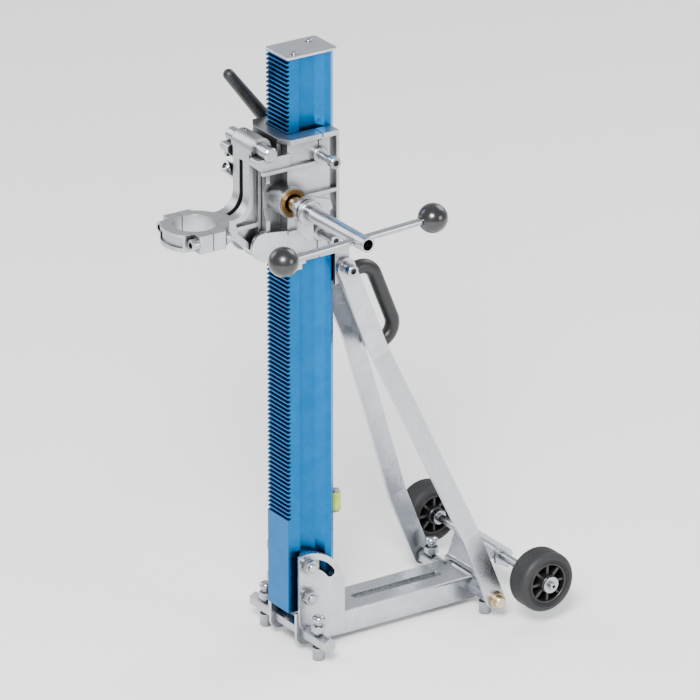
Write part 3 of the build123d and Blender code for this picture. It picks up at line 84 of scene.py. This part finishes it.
@dataclass(frozen=True)
class Finish:
    """What one surface looks like.

    Args:
        name: Name of the material.
        surface: Its fine structure.
        base: Main colour, linear.
        second: Colour of its worn or cloudy areas, linear.
        roughness: Middle roughness.
        metallic: 1 for bare and plated metal.
        edge: Radius in metres by which sharp edges look rounded.
        relief: Depth of the fine structure, from 0 to 1.
        grain: Direction of scratches and turning lines.
    """

    name: str
    surface: Surface
    base: Colour
    second: Colour
    roughness: float
    metallic: float = 1.0
    edge: float = 0.0006
    relief: float = 0.25
    grain: Axis = Axis.Z


ANODISED = Finish(
    "anodised_blue", Surface.EXTRUDED, (0.001, 0.115, 0.32), (0.006, 0.165, 0.41), 0.28, edge=0.0004,
)
CASTING = Finish("cast_alloy", Surface.CAST, (0.50, 0.51, 0.52), (0.34, 0.35, 0.37), 0.32, edge=0.0012)
ZINC = Finish("zinc_plate", Surface.PLATED, (0.56, 0.585, 0.62), (0.40, 0.42, 0.46), 0.27, edge=0.0007)
ZINC_TURNED = Finish(
    "zinc_turned", Surface.TURNED, (0.46, 0.475, 0.50), (0.28, 0.295, 0.32), 0.22, grain=Axis.X,
)
YELLOW_ZINC = Finish("yellow_zinc", Surface.PLATED, (0.72, 0.62, 0.38), (0.66, 0.60, 0.45), 0.33)
STEEL = Finish("ground_steel", Surface.TURNED, (0.46, 0.47, 0.49), (0.28, 0.29, 0.31), 0.19, grain=Axis.X)
BRONZE = Finish("turned_bronze", Surface.TURNED, (0.60, 0.36, 0.14), (0.42, 0.23, 0.08), 0.30, grain=Axis.X)
GLOSS_BLACK = Finish(
    "gloss_black", Surface.POLISHED, (0.004, 0.004, 0.0045), (0.008, 0.008, 0.009), 0.27, 0.0,
    relief=0.06,
)
GRIP_BLACK = Finish(
    "grip_black", Surface.MOULDED, (0.006, 0.006, 0.0065), (0.012, 0.012, 0.013), 0.38, 0.0,
    relief=0.3,
)
TYRE_RUBBER = Finish(
    "tyre_rubber", Surface.RUBBER, (0.009, 0.0092, 0.010), (0.018, 0.018, 0.019), 0.6, 0.0,
    relief=0.5,
)
WHEEL_BLACK = Finish(
    "wheel_black", Surface.MOULDED, (0.012, 0.012, 0.013), (0.025, 0.025, 0.027), 0.34, 0.0,
    relief=0.2,
)
PAD_WHITE = Finish("pad_nylon", Surface.MOULDED, (0.62, 0.60, 0.55), (0.52, 0.50, 0.44), 0.45, 0.0)
CAP_GREY = Finish("cap_grey", Surface.MOULDED, (0.20, 0.21, 0.22), (0.28, 0.29, 0.30), 0.42, 0.0)
VIAL_GREEN = Finish(
    "vial_green", Surface.CLEAR, (0.55, 0.80, 0.04), (0.70, 0.88, 0.10), 0.06, 0.0, relief=0.0,
)
BUBBLE = Finish("vial_bubble", Surface.CLEAR, (0.85, 0.95, 0.45), (0.9, 0.97, 0.6), 0.04, 0.0, relief=0.0)

NODE_FINISHES: dict[str, Finish] = {
    "column": ANODISED,
    "cap_plate": ZINC,
    "cap_screws": ZINC_TURNED,
    "foot_plates": ZINC,
    "foot_bolts": ZINC_TURNED,
    "foot_nuts": ZINC_TURNED,
    "level_vial": VIAL_GREEN,
    "level_caps": CAP_GREY,
    "base_channel": ZINC,
    "ears": ZINC,
    "front_crossbar": ZINC_TURNED,
    "rear_crossbar": ZINC_TURNED,
    "axle_bracket": ZINC,
    "axle": ZINC_TURNED,
    "axle_collars": ZINC_TURNED,
    "axle_screws": ZINC_TURNED,
    "carriage": CASTING,
    "guide_pads": PAD_WHITE,
    "adjusters": ZINC_TURNED,
    "shaft_bushes": BRONZE,
    "pinion_shaft": STEEL,
    "drive_plate": CASTING,
    "crank_hub": ZINC_TURNED,
    "crank_tube": ZINC_TURNED,
    "crank_rod": ZINC_TURNED,
    "ball_knobs": GLOSS_BLACK,
    "lock_lever": GRIP_BLACK,
    "lever_stud": ZINC_TURNED,
    "machine_holder": CASTING,
    "collar_cap": CASTING,
    "collar_screws": ZINC_TURNED,
    "collar_nuts": ZINC_TURNED,
    "hook_pin": STEEL,
    "holder_screws": ZINC_TURNED,
    "strut_slider": CASTING,
    "tee_nut": ZINC,
    "slider_screw": ZINC_TURNED,
    "strut_top_bolts": ZINC_TURNED,
    "strut_left": ZINC,
    "strut_right": ZINC,
    "strut_brace": ZINC,
    "carry_handle": GRIP_BLACK,
    "handle_screws": ZINC_TURNED,
    "strut_foot_bolts": YELLOW_ZINC,
    "tyre_right": TYRE_RUBBER,
    "tyre_left": TYRE_RUBBER,
    "rim_right": WHEEL_BLACK,
    "rim_left": WHEEL_BLACK,
    "wheel_bush_right": CAP_GREY,
    "wheel_bush_left": CAP_GREY,
}
CORNERS = ("front_right", "front_left", "rear_right", "rear_left")


class Effects:
    """Node groups that several finishes share. They give colours, masks, values and normals."""

    def __init__(self) -> None:
        """Makes every group once."""
        self.rounding = self._rounding()
        self.painted_hollow_shade = self._painted_hollow_shade()
        self.streaks = self._streaks()
        self.cast_skin = self._cast_skin()
        self.clouding = self._clouding()
        self.specks = self._specks()

    @staticmethod
    def _group(name: str, inputs: dict[str, float], outputs: dict[str, str]) -> bpy.types.NodeTree:
        """Makes an empty group.

        Args:
            name: Its name.
            inputs: Float inputs with their defaults.
            outputs: Outputs with their socket types.

        Returns:
            The group, with its input and output nodes.
        """
        tree = bpy.data.node_groups.new(name, "ShaderNodeTree")
        for label, default in inputs.items():
            socket = tree.interface.new_socket(name=label, in_out="INPUT", socket_type="NodeSocketFloat")
            socket.default_value = default
        for label, kind in outputs.items():
            tree.interface.new_socket(name=label, in_out="OUTPUT", socket_type=kind)
        tree.nodes.new("NodeGroupInput")
        tree.nodes.new("NodeGroupOutput")
        return tree

    @staticmethod
    def _object_noise(
        tree: bpy.types.NodeTree, stretch: Point, scale: float, detail: float
    ) -> bpy.types.Node:
        """Adds noise in object coordinates, stretched along the axes.

        Args:
            tree: Tree it goes in.
            stretch: How much finer it is along each axis.
            scale: Noise scale, per metre.
            detail: Number of octaves.

        Returns:
            The noise node.
        """
        coords = tree.nodes.new("ShaderNodeTexCoord")
        mapping = tree.nodes.new("ShaderNodeMapping")
        mapping.inputs["Scale"].default_value = stretch
        noise = tree.nodes.new("ShaderNodeTexNoise")
        noise.inputs["Scale"].default_value = scale
        noise.inputs["Detail"].default_value = detail
        tree.links.new(coords.outputs["Object"], mapping.inputs["Vector"])
        tree.links.new(mapping.outputs["Vector"], noise.inputs["Vector"])
        return noise

    def _rounding(self) -> bpy.types.NodeTree:
        """Edges that look rounded, and a mask of where they are."""
        outputs = {"Normal": "NodeSocketVector", "Edge": "NodeSocketFloat"}
        tree = self._group("rounding", {"Radius": 0.0006}, outputs)
        source, sink = tree.nodes["Group Input"], tree.nodes["Group Output"]
        bevel = tree.nodes.new("ShaderNodeBevel")
        bevel.samples = 6
        geometry = tree.nodes.new("ShaderNodeNewGeometry")
        dot = tree.nodes.new("ShaderNodeVectorMath")
        dot.operation = "DOT_PRODUCT"
        span = tree.nodes.new("ShaderNodeMapRange")
        span.inputs["From Min"].default_value = 0.99
        span.inputs["From Max"].default_value = 0.80
        tree.links.new(source.outputs["Radius"], bevel.inputs["Radius"])
        tree.links.new(bevel.outputs["Normal"], dot.inputs[0])
        tree.links.new(geometry.outputs["Normal"], dot.inputs[1])
        tree.links.new(dot.outputs["Value"], span.inputs["Value"])
        tree.links.new(bevel.outputs["Normal"], sink.inputs["Normal"])
        tree.links.new(span.outputs["Result"], sink.inputs["Edge"])
        return tree

    def _painted_hollow_shade(self) -> bpy.types.NodeTree:
        """Painted shade: a factor that is 1 in the open and less in recesses, pockets and between parts,
        multiplied into the base colour.
        """
        tree = self._group("painted_hollow_shade", {"Depth": 0.03}, {"Painted_shade_factor": "NodeSocketFloat"})
        source, sink = tree.nodes["Group Input"], tree.nodes["Group Output"]
        openness = tree.nodes.new("ShaderNodeAmbientOcclusion")
        openness.samples = 8
        span = tree.nodes.new("ShaderNodeMapRange")
        span.inputs["From Min"].default_value = 0.2
        span.inputs["From Max"].default_value = 0.95
        span.inputs["To Min"].default_value = 0.30
        tree.links.new(source.outputs["Depth"], openness.inputs["Distance"])
        tree.links.new(openness.outputs["AO"], span.inputs["Value"])
        tree.links.new(span.outputs["Result"], sink.inputs["Painted_shade_factor"])
        return tree

    def _streaks(self) -> dict[Axis, bpy.types.NodeTree]:
        """Fine lines along each axis."""
        trees: dict[Axis, bpy.types.NodeTree] = {}
        for axis in Axis:
            tree = self._group("streaks_" + axis.name.lower(), {}, {"Value": "NodeSocketFloat"})
            stretch = [1.0, 1.0, 1.0]
            stretch[axis.value] = 0.02
            noise = self._object_noise(tree, tuple(stretch), 2600.0, 3.0)
            tree.links.new(noise.outputs["Fac"], tree.nodes["Group Output"].inputs["Value"])
            trees[axis] = tree
        return trees

    def _cast_skin(self) -> bpy.types.NodeTree:
        """Sand-cast skin: shallow lumps under a fine grain."""
        tree = self._group("cast_skin", {}, {"Value": "NodeSocketFloat"})
        lumps = self._object_noise(tree, (1.0, 1.0, 1.0), 260.0, 4.0)
        grain = self._object_noise(tree, (1.0, 1.0, 1.0), 1500.0, 2.0)
        mix = tree.nodes.new("ShaderNodeMix")
        mix.inputs["Factor"].default_value = 0.35
        tree.links.new(lumps.outputs["Fac"], mix.inputs["A"])
        tree.links.new(grain.outputs["Fac"], mix.inputs["B"])
        tree.links.new(mix.outputs["Result"], tree.nodes["Group Output"].inputs["Value"])
        return tree

    def _clouding(self) -> bpy.types.NodeTree:
        """Soft patches, as of plating and handling."""
        tree = self._group("clouding", {}, {"Value": "NodeSocketFloat"})
        noise = self._object_noise(tree, (1.0, 1.0, 1.0), 38.0, 5.0)
        noise.inputs["Distortion"].default_value = 0.8
        ramp = tree.nodes.new("ShaderNodeMapRange")
        ramp.inputs["From Min"].default_value = 0.35
        ramp.inputs["From Max"].default_value = 0.68
        tree.links.new(noise.outputs["Fac"], ramp.inputs["Value"])
        tree.links.new(ramp.outputs["Result"], tree.nodes["Group Output"].inputs["Value"])
        return tree

    def _specks(self) -> bpy.types.NodeTree:
        """Fine pebbled grain, as of moulded plastic and rubber."""
        tree = self._group("specks", {}, {"Value": "NodeSocketFloat"})
        coords = tree.nodes.new("ShaderNodeTexCoord")
        cells = tree.nodes.new("ShaderNodeTexVoronoi")
        cells.inputs["Scale"].default_value = 1300.0
        tree.links.new(coords.outputs["Object"], cells.inputs["Vector"])
        tree.links.new(cells.outputs["Distance"], tree.nodes["Group Output"].inputs["Value"])
        return tree


class MaterialShop:
    """Makes each finish's material the first time it is asked for."""

    def __init__(self) -> None:
        """Starts with the shared effects and no material."""
        self.effects = Effects()
        self.made: dict[str, bpy.types.Material] = {}

    def get(self, finish: Finish) -> bpy.types.Material:
        """The material of a finish.

        Args:
            finish: What it looks like.

        Returns:
            The material, made now or before.
        """
        if finish.name not in self.made:
            self.made[finish.name] = self._build(finish)
        return self.made[finish.name]

    def dress(self, piece: bpy.types.Object, finish: Finish) -> None:
        """Gives a piece one material all over.

        Args:
            piece: The mesh object.
            finish: What it looks like.
        """
        material = self.get(finish)
        if not piece.material_slots:
            piece.data.materials.append(material)
        for slot in piece.material_slots:
            slot.material = material

    def _call(self, tree: bpy.types.NodeTree, group: bpy.types.NodeTree) -> bpy.types.Node:
        """Adds a group node."""
        node = tree.nodes.new("ShaderNodeGroup")
        node.node_tree = group
        return node

    def _detail(self, tree: bpy.types.NodeTree, finish: Finish) -> bpy.types.NodeSocket:
        """The height of a finish's fine structure."""
        fine = {
            Surface.EXTRUDED: self.effects.streaks[finish.grain],
            Surface.TURNED: self.effects.streaks[finish.grain],
            Surface.CAST: self.effects.cast_skin,
            Surface.PLATED: self.effects.cast_skin,
            Surface.MOULDED: self.effects.specks,
            Surface.RUBBER: self.effects.specks,
            Surface.POLISHED: self.effects.clouding,
            Surface.CLEAR: self.effects.clouding,
        }
        return self._call(tree, fine[finish.surface]).outputs["Value"]

    def _build(self, finish: Finish) -> bpy.types.Material:
        """Builds a finish's node tree."""
        material = bpy.data.materials.new(finish.name)
        material.use_nodes = True
        tree = material.node_tree
        shader = tree.nodes["Principled BSDF"]
        rounding = self._call(tree, self.effects.rounding)
        rounding.inputs["Radius"].default_value = finish.edge
        clouds = self._call(tree, self.effects.clouding)
        detail = self._detail(tree, finish)
        colour = self._blend(tree, clouds.outputs["Value"], finish.base, finish.second, 0.45)
        worn = self._wear(tree, rounding.outputs["Edge"], colour, finish)
        # Painted shade: ambient occlusion darkens the base colour in recesses, pockets and between parts.
        painted_hollow_shade = self._call(tree, self.effects.painted_hollow_shade)
        shade = tree.nodes.new("ShaderNodeMix")
        shade.data_type = "RGBA"
        shade.blend_type = "MULTIPLY"
        shade.inputs["Factor"].default_value = 1.0
        tree.links.new(worn, shade.inputs["A"])
        tree.links.new(painted_hollow_shade.outputs["Painted_shade_factor"], shade.inputs["B"])
        tree.links.new(shade.outputs[2], shader.inputs["Base Color"])
        roughness = self._roughness(tree, clouds.outputs["Value"], detail, finish)
        tree.links.new(roughness, shader.inputs["Roughness"])
        bump = tree.nodes.new("ShaderNodeBump")
        bump.inputs["Strength"].default_value = finish.relief
        bump.inputs["Distance"].default_value = 0.00012
        tree.links.new(detail, bump.inputs["Height"])
        tree.links.new(rounding.outputs["Normal"], bump.inputs["Normal"])
        tree.links.new(bump.outputs["Normal"], shader.inputs["Normal"])
        shader.inputs["Metallic"].default_value = finish.metallic
        if finish.surface is Surface.CLEAR:
            shader.inputs["Transmission Weight"].default_value = 0.55
            shader.inputs["IOR"].default_value = 1.46
            shader.inputs["Coat Weight"].default_value = 0.6
        if finish.surface is Surface.POLISHED:
            shader.inputs["Coat Weight"].default_value = 0.5
            shader.inputs["Coat Roughness"].default_value = 0.08
        return material

    @staticmethod
    def _blend(
        tree: bpy.types.NodeTree, mask: bpy.types.NodeSocket, first: Colour, second: Colour, share: float
    ) -> bpy.types.NodeSocket:
        """Mixes two colours by a mask.

        Args:
            tree: Tree it goes in.
            mask: Where the second colour shows.
            first: Colour where the mask is 0.
            second: Colour where the mask is 1.
            share: The most of the second colour that shows.

        Returns:
            The mixed colour.
        """
        limit = tree.nodes.new("ShaderNodeMath")
        limit.operation = "MULTIPLY"
        limit.inputs[1].default_value = share
        mix = tree.nodes.new("ShaderNodeMix")
        mix.data_type = "RGBA"
        mix.inputs["A"].default_value = (*first, 1.0)
        mix.inputs["B"].default_value = (*second, 1.0)
        tree.links.new(mask, limit.inputs[0])
        tree.links.new(limit.outputs["Value"], mix.inputs["Factor"])
        return mix.outputs[2]

    @staticmethod
    def _wear(
        tree: bpy.types.NodeTree, edge: bpy.types.NodeSocket, colour: bpy.types.NodeSocket, finish: Finish
    ) -> bpy.types.NodeSocket:
        """Lightens the edges a little where hands and tools rub them.

        Args:
            tree: Tree it goes in.
            edge: Mask of the edges.
            colour: The colour elsewhere.
            finish: What the surface looks like.

        Returns:
            The worn colour.
        """
        share = tree.nodes.new("ShaderNodeMath")
        share.operation = "MULTIPLY"
        share.inputs[1].default_value = 0.30 if finish.metallic else 0.12
        mix = tree.nodes.new("ShaderNodeMix")
        mix.data_type = "RGBA"
        light = [min(1.0, value * 1.35 + 0.02) for value in finish.second]
        mix.inputs["B"].default_value = (*light, 1.0)
        tree.links.new(edge, share.inputs[0])
        tree.links.new(share.outputs["Value"], mix.inputs["Factor"])
        tree.links.new(colour, mix.inputs["A"])
        return mix.outputs[2]

    @staticmethod
    def _roughness(
        tree: bpy.types.NodeTree, clouds: bpy.types.NodeSocket, detail: bpy.types.NodeSocket, finish: Finish
    ) -> bpy.types.NodeSocket:
        """Roughness that varies with the clouds and the fine structure.

        Args:
            tree: Tree it goes in.
            clouds: Soft patches.
            detail: Fine structure.
            finish: What the surface looks like.

        Returns:
            The roughness.
        """
        both = tree.nodes.new("ShaderNodeMath")
        both.operation = "ADD"
        span = tree.nodes.new("ShaderNodeMapRange")
        span.inputs["From Max"].default_value = 2.0
        span.inputs["To Min"].default_value = 0.8 * finish.roughness
        span.inputs["To Max"].default_value = 1.35 * finish.roughness
        tree.links.new(clouds, both.inputs[0])
        tree.links.new(detail, both.inputs[1])
        tree.links.new(both.outputs["Value"], span.inputs["Value"])
        return span.outputs["Result"]


def deselect() -> None:
    """Leaves nothing selected, in object mode."""
    if bpy.context.object and bpy.context.object.mode != "OBJECT":
        bpy.ops.object.mode_set(mode="OBJECT")
    bpy.ops.object.select_all(action="DESELECT")


def centre_of(node: str) -> Vector:
    """Middle of a CAD node's box, in metres.

    Args:
        node: Its name.

    Returns:
        The middle.
    """
    low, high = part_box(node)
    return (Vector(low) + Vector(high)) / 2


def lathe(name: str, profile: list[tuple[float, float]], centre: Vector, steps: int) -> bpy.types.Object:
    """Turns a closed profile round an axis along X.

    Args:
        name: Name of the piece.
        profile: Points (distance along X from the centre, radius), in metres.
        centre: Point on the axis.
        steps: Number of steps in a full turn.

    Returns:
        The piece, with its origin at the frame's origin.
    """
    deselect()
    bpy.ops.mesh.primitive_plane_add(size=MM, location=(0, 0, 0))
    piece = bpy.context.object
    piece.name = name
    bpy.ops.object.mode_set(mode="EDIT")
    bpy.ops.mesh.select_all(action="SELECT")
    bpy.ops.mesh.merge(type="CENTER")
    start = centre + Vector((profile[0][0], 0.0, profile[0][1]))
    bpy.ops.transform.translate(value=start)
    here = start
    for along, radius in profile[1:] + profile[:1]:
        there = centre + Vector((along, 0.0, radius))
        bpy.ops.mesh.extrude_region_move(TRANSFORM_OT_translate={"value": there - here})
        here = there
    bpy.ops.mesh.select_all(action="SELECT")
    bpy.ops.mesh.remove_doubles(threshold=0.01 * MM)
    bpy.ops.mesh.spin(steps=steps, angle=2 * math.pi, center=centre, axis=(1, 0, 0))
    bpy.ops.mesh.select_all(action="SELECT")
    bpy.ops.mesh.remove_doubles(threshold=0.01 * MM)
    bpy.ops.mesh.normals_make_consistent(inside=False)
    bpy.ops.object.mode_set(mode="OBJECT")
    bpy.ops.object.shade_smooth_by_angle(angle=math.radians(32))
    return piece


def join(pieces: list[bpy.types.Object], name: str) -> bpy.types.Object:
    """Joins pieces in one object.

    Args:
        pieces: The pieces; the first one stays.
        name: Name of the result.

    Returns:
        The joined object.
    """
    deselect()
    for piece in pieces:
        piece.select_set(True)
    bpy.context.view_layer.objects.active = pieces[0]
    bpy.ops.object.join()
    pieces[0].name = name
    return pieces[0]


def bevel_edges(piece: bpy.types.Object, width: float, segments: int = 2) -> None:
    """Rounds a piece's sharp edges with a modifier and applies it.

    Args:
        piece: The piece.
        width: Width of the bevel, in metres.
        segments: Number of segments.
    """
    bpy.context.view_layer.objects.active = piece
    modifier = piece.modifiers.new("bevel", "BEVEL")
    modifier.width = width
    modifier.segments = segments
    modifier.limit_method = "ANGLE"
    modifier.angle_limit = math.radians(35)
    bpy.ops.object.modifier_apply(modifier=modifier.name)


@dataclass
class Wheel:
    """One transport wheel: rubber tyre with moulded rings, and a spoked plastic centre."""

    side: str
    body: str
    shop: MaterialShop
    steps: int = 96
    spokes: int = 8
    rim_radius: float = 0.0289
    bore_radius: float = 0.0081
    hub_radius: float = 0.0125
    shoulder: float = 0.0085
    groove: float = 0.0009
    made: list[bpy.types.Object] = field(default_factory=list)

    def build(self) -> None:
        """Builds the tyre and the centre."""
        self.made = [self._tyre(), self._centre()]
        for piece in self.made:
            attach(piece, self.body)
            LOG.info("made %s", piece.name)

    def _tyre(self) -> bpy.types.Object:
        """The tyre: rounded shoulders, ring grooves on both walls and two on the tread."""
        node = "tyre_" + self.side
        low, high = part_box(node)
        centre = centre_of(node)
        half = (high[0] - low[0]) / 2 - 0.02 * MM
        outer = (high[2] - low[2]) / 2 - 0.02 * MM
        wall = outer - self.shoulder
        right: list[tuple[float, float]] = [(half - 1.2 * MM, self.rim_radius)]
        for ring in (0.30, 0.72):
            radius = self.rim_radius + ring * (wall - self.rim_radius)
            right += [
                (half - 0.2 * MM, radius - 1.1 * MM),
                (half - self.groove, radius - 0.5 * MM),
                (half - self.groove, radius + 0.5 * MM),
                (half, radius + 1.1 * MM),
            ]
        for index in range(9):
            angle = math.radians(90 * index / 8)
            along = half - self.shoulder * (1 - math.cos(angle))
            right.append((along, wall + self.shoulder * math.sin(angle)))
        for place in (0.42, 0.14):
            right += [
                (place * half + 0.9 * MM, outer),
                (place * half + 0.5 * MM, outer - self.groove),
                (place * half - 0.5 * MM, outer - self.groove),
                (place * half - 0.9 * MM, outer),
            ]
        left = [(-along, radius) for along, radius in reversed(right)]
        tyre = lathe("tyre_ring_" + self.side, right + left, centre, self.steps)
        self.shop.dress(tyre, TYRE_RUBBER)
        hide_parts(node)
        return tyre

    def _centre(self) -> bpy.types.Object:
        """The wheel centre: rim ring, web, hub and rounded spokes on both faces."""
        node = "rim_" + self.side
        low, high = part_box(node)
        centre = centre_of(node)
        hub_half = (high[0] - low[0]) / 2 - 0.02 * MM
        rim_half = hub_half - 4 * MM
        inner = self.rim_radius - 4 * MM
        right = [
            (hub_half, self.bore_radius),
            (hub_half, self.hub_radius - 1.5 * MM),
            (hub_half - 1.5 * MM, self.hub_radius),
            (4 * MM, self.hub_radius + 1.5 * MM),
            (3 * MM, self.hub_radius + 4 * MM),
            (3 * MM, inner - 2 * MM),
            (6 * MM, inner),
            (rim_half - 1 * MM, inner + 0.8 * MM),
            (rim_half, inner + 1.8 * MM),
            (rim_half, self.rim_radius - 0.8 * MM),
            (rim_half - 0.8 * MM, self.rim_radius),
        ]
        left = [(-along, radius) for along, radius in reversed(right)]
        parts = [lathe("wheel_centre_" + self.side, right + left, centre, self.steps)]
        for index in range(self.spokes):
            parts.append(self._spoke(index, centre, rim_half, inner))
        whole = join(parts, "wheel_centre_" + self.side)
        self.shop.dress(whole, WHEEL_BLACK)
        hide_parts(node)
        return whole

    def _spoke(self, index: int, centre: Vector, rim_half: float, inner: float) -> bpy.types.Object:
        """One spoke, a rounded bar across both faces.

        Args:
            index: Its place round the hub.
            centre: Middle of the wheel.
            rim_half: Half the width of the rim.
            inner: Inner radius of the rim.

        Returns:
            The spoke.
        """
        deselect()
        start = self.hub_radius - 1 * MM
        length = inner + 1 * MM - start
        middle = centre + Vector((0, 0, start + length / 2))
        bpy.ops.mesh.primitive_cube_add(size=1, location=middle)
        spoke = bpy.context.object
        spoke.scale = (2 * rim_half - 5 * MM, 4.2 * MM, length)
        bpy.ops.object.transform_apply(location=True, rotation=True, scale=True)
        bevel_edges(spoke, 1.2 * MM)
        bpy.ops.object.mode_set(mode="EDIT")
        bpy.ops.mesh.select_all(action="SELECT")
        turn = 2 * math.pi * index / self.spokes
        bpy.ops.transform.rotate(value=turn, orient_axis="X", orient_type="GLOBAL", center_override=centre)
        bpy.ops.object.mode_set(mode="OBJECT")
        return spoke


@dataclass
class SpiritLevel:
    """The bubble inside the clear vial, on the back of the column."""

    shop: MaterialShop
    bubble_radius: float = 0.0035
    bubble_stretch: float = 1.6
    bubble_rise: float = 0.003

    def build(self) -> None:
        """Adds the bubble inside the vial."""
        low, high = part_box("level_vial")
        axis_y = high[1] - (high[0] - low[0]) / 2
        middle = Vector(((low[0] + high[0]) / 2, axis_y, (low[2] + high[2]) / 2))
        deselect()
        bpy.ops.mesh.primitive_uv_sphere_add(
            segments=32, ring_count=16, radius=self.bubble_radius, location=(0, 0, 0)
        )
        bubble = bpy.context.object
        bubble.name = "level_bubble"
        bpy.ops.object.mode_set(mode="EDIT")
        bpy.ops.mesh.select_all(action="SELECT")
        bpy.ops.transform.resize(value=(1.0, 1.0, self.bubble_stretch))
        bpy.ops.transform.translate(value=middle + Vector((0, 0, self.bubble_rise)))
        bpy.ops.object.mode_set(mode="OBJECT")
        bpy.ops.object.shade_smooth()
        self.shop.dress(bubble, BUBBLE)
        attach(bubble, "column")
        LOG.info("made %s", bubble.name)


@dataclass
class Studio:
    """Pale floor, soft lights and the camera."""

    floor_size: float = 14.0
    camera_place: Point = (7.3796, -4.8838, 4.1299)
    camera_turn: float = 56.551
    camera_drop: float = 22.757
    lens: float = 373.0

    def build(self) -> None:
        """Builds the floor, the lights and the camera."""
        self._floor()
        self._world()
        self._area("key", (2.6, -2.2, 3.4), 1.5, 420.0)
        self._area("fill", (-2.8, -1.6, 2.2), 2.0, 40.0)
        self._area("back", (-0.6, 3.0, 2.8), 2.2, 70.0)
        self._area("side", (3.2, 1.6, 1.4), 1.4, 38.0)
        self._camera()

    def _floor(self) -> None:
        """A large pale floor."""
        deselect()
        bpy.ops.mesh.primitive_plane_add(size=self.floor_size, location=(0, 0, 0))
        floor = bpy.context.object
        floor.name = "studio_floor"
        material = bpy.data.materials.new("studio_floor")
        material.use_nodes = True
        shader = material.node_tree.nodes["Principled BSDF"]
        shader.inputs["Base Color"].default_value = (0.94, 0.94, 0.94, 1.0)
        shader.inputs["Roughness"].default_value = 0.75
        floor.data.materials.append(material)

    def _world(self) -> None:
        """Even white surroundings."""
        world = bpy.data.worlds.new("studio_world")
        world.use_nodes = True
        backdrop = world.node_tree.nodes["Background"]
        backdrop.inputs["Color"].default_value = (0.95, 0.97, 1.0, 1.0)
        backdrop.inputs["Strength"].default_value = 0.85
        bpy.context.scene.world = world

    def _area(self, name: str, place: Point, size: float, power: float) -> None:
        """Adds a soft light that faces the middle of the object.

        Args:
            name: Its name.
            place: Where it is, in metres.
            size: Its side, in metres.
            power: Its power, in watts.
        """
        light = bpy.data.lights.new(name, "AREA")
        light.size = size
        light.energy = power
        holder = bpy.data.objects.new(name, light)
        holder.location = place
        aim = Vector((0.0, 0.0, 0.45)) - Vector(place)
        holder.rotation_euler = aim.to_track_quat("-Z", "Y").to_euler()
        bpy.context.scene.collection.objects.link(holder)

    def _camera(self) -> None:
        """Sets the camera."""
        data = bpy.data.cameras.new("camera")
        data.lens = self.lens
        data.sensor_width = 36.0
        data.clip_end = 60.0
        camera = bpy.data.objects.new("camera", data)
        camera.location = self.camera_place
        camera.rotation_euler = (math.radians(90 - self.camera_drop), 0.0, math.radians(self.camera_turn))
        bpy.context.scene.collection.objects.link(camera)
        bpy.context.scene.camera = camera


class FrameDresser:
    """Gives every CAD node that stays in view its finish."""

    def __init__(self, nodes: dict[str, bpy.types.Object], shop: MaterialShop) -> None:
        """Keeps what it needs.

        Args:
            nodes: CAD nodes by name.
            shop: Where materials come from.
        """
        self.nodes = nodes
        self.shop = shop

    def build(self) -> None:
        """Dresses each node."""
        finishes = dict(NODE_FINISHES)
        for corner in CORNERS:
            finishes["level_screw_" + corner] = ZINC_TURNED
            finishes["level_foot_" + corner] = ZINC_TURNED
        for name, finish in finishes.items():
            self.shop.dress(self.nodes[name], finish)
        LOG.info("dressed %d nodes", len(finishes))


def main() -> None:
    """Builds the looks in order."""
    logging.basicConfig(level=logging.INFO, format="%(name)s: %(message)s")
    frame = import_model()
    deselect()
    shop = MaterialShop()
    FrameDresser(frame["nodes"], shop).build()
    for side in ("right", "left"):
        Wheel(side, "wheel_" + side, shop).build()
    SpiritLevel(shop).build()
    Studio().build()


if __name__ == "__main__":
    main()
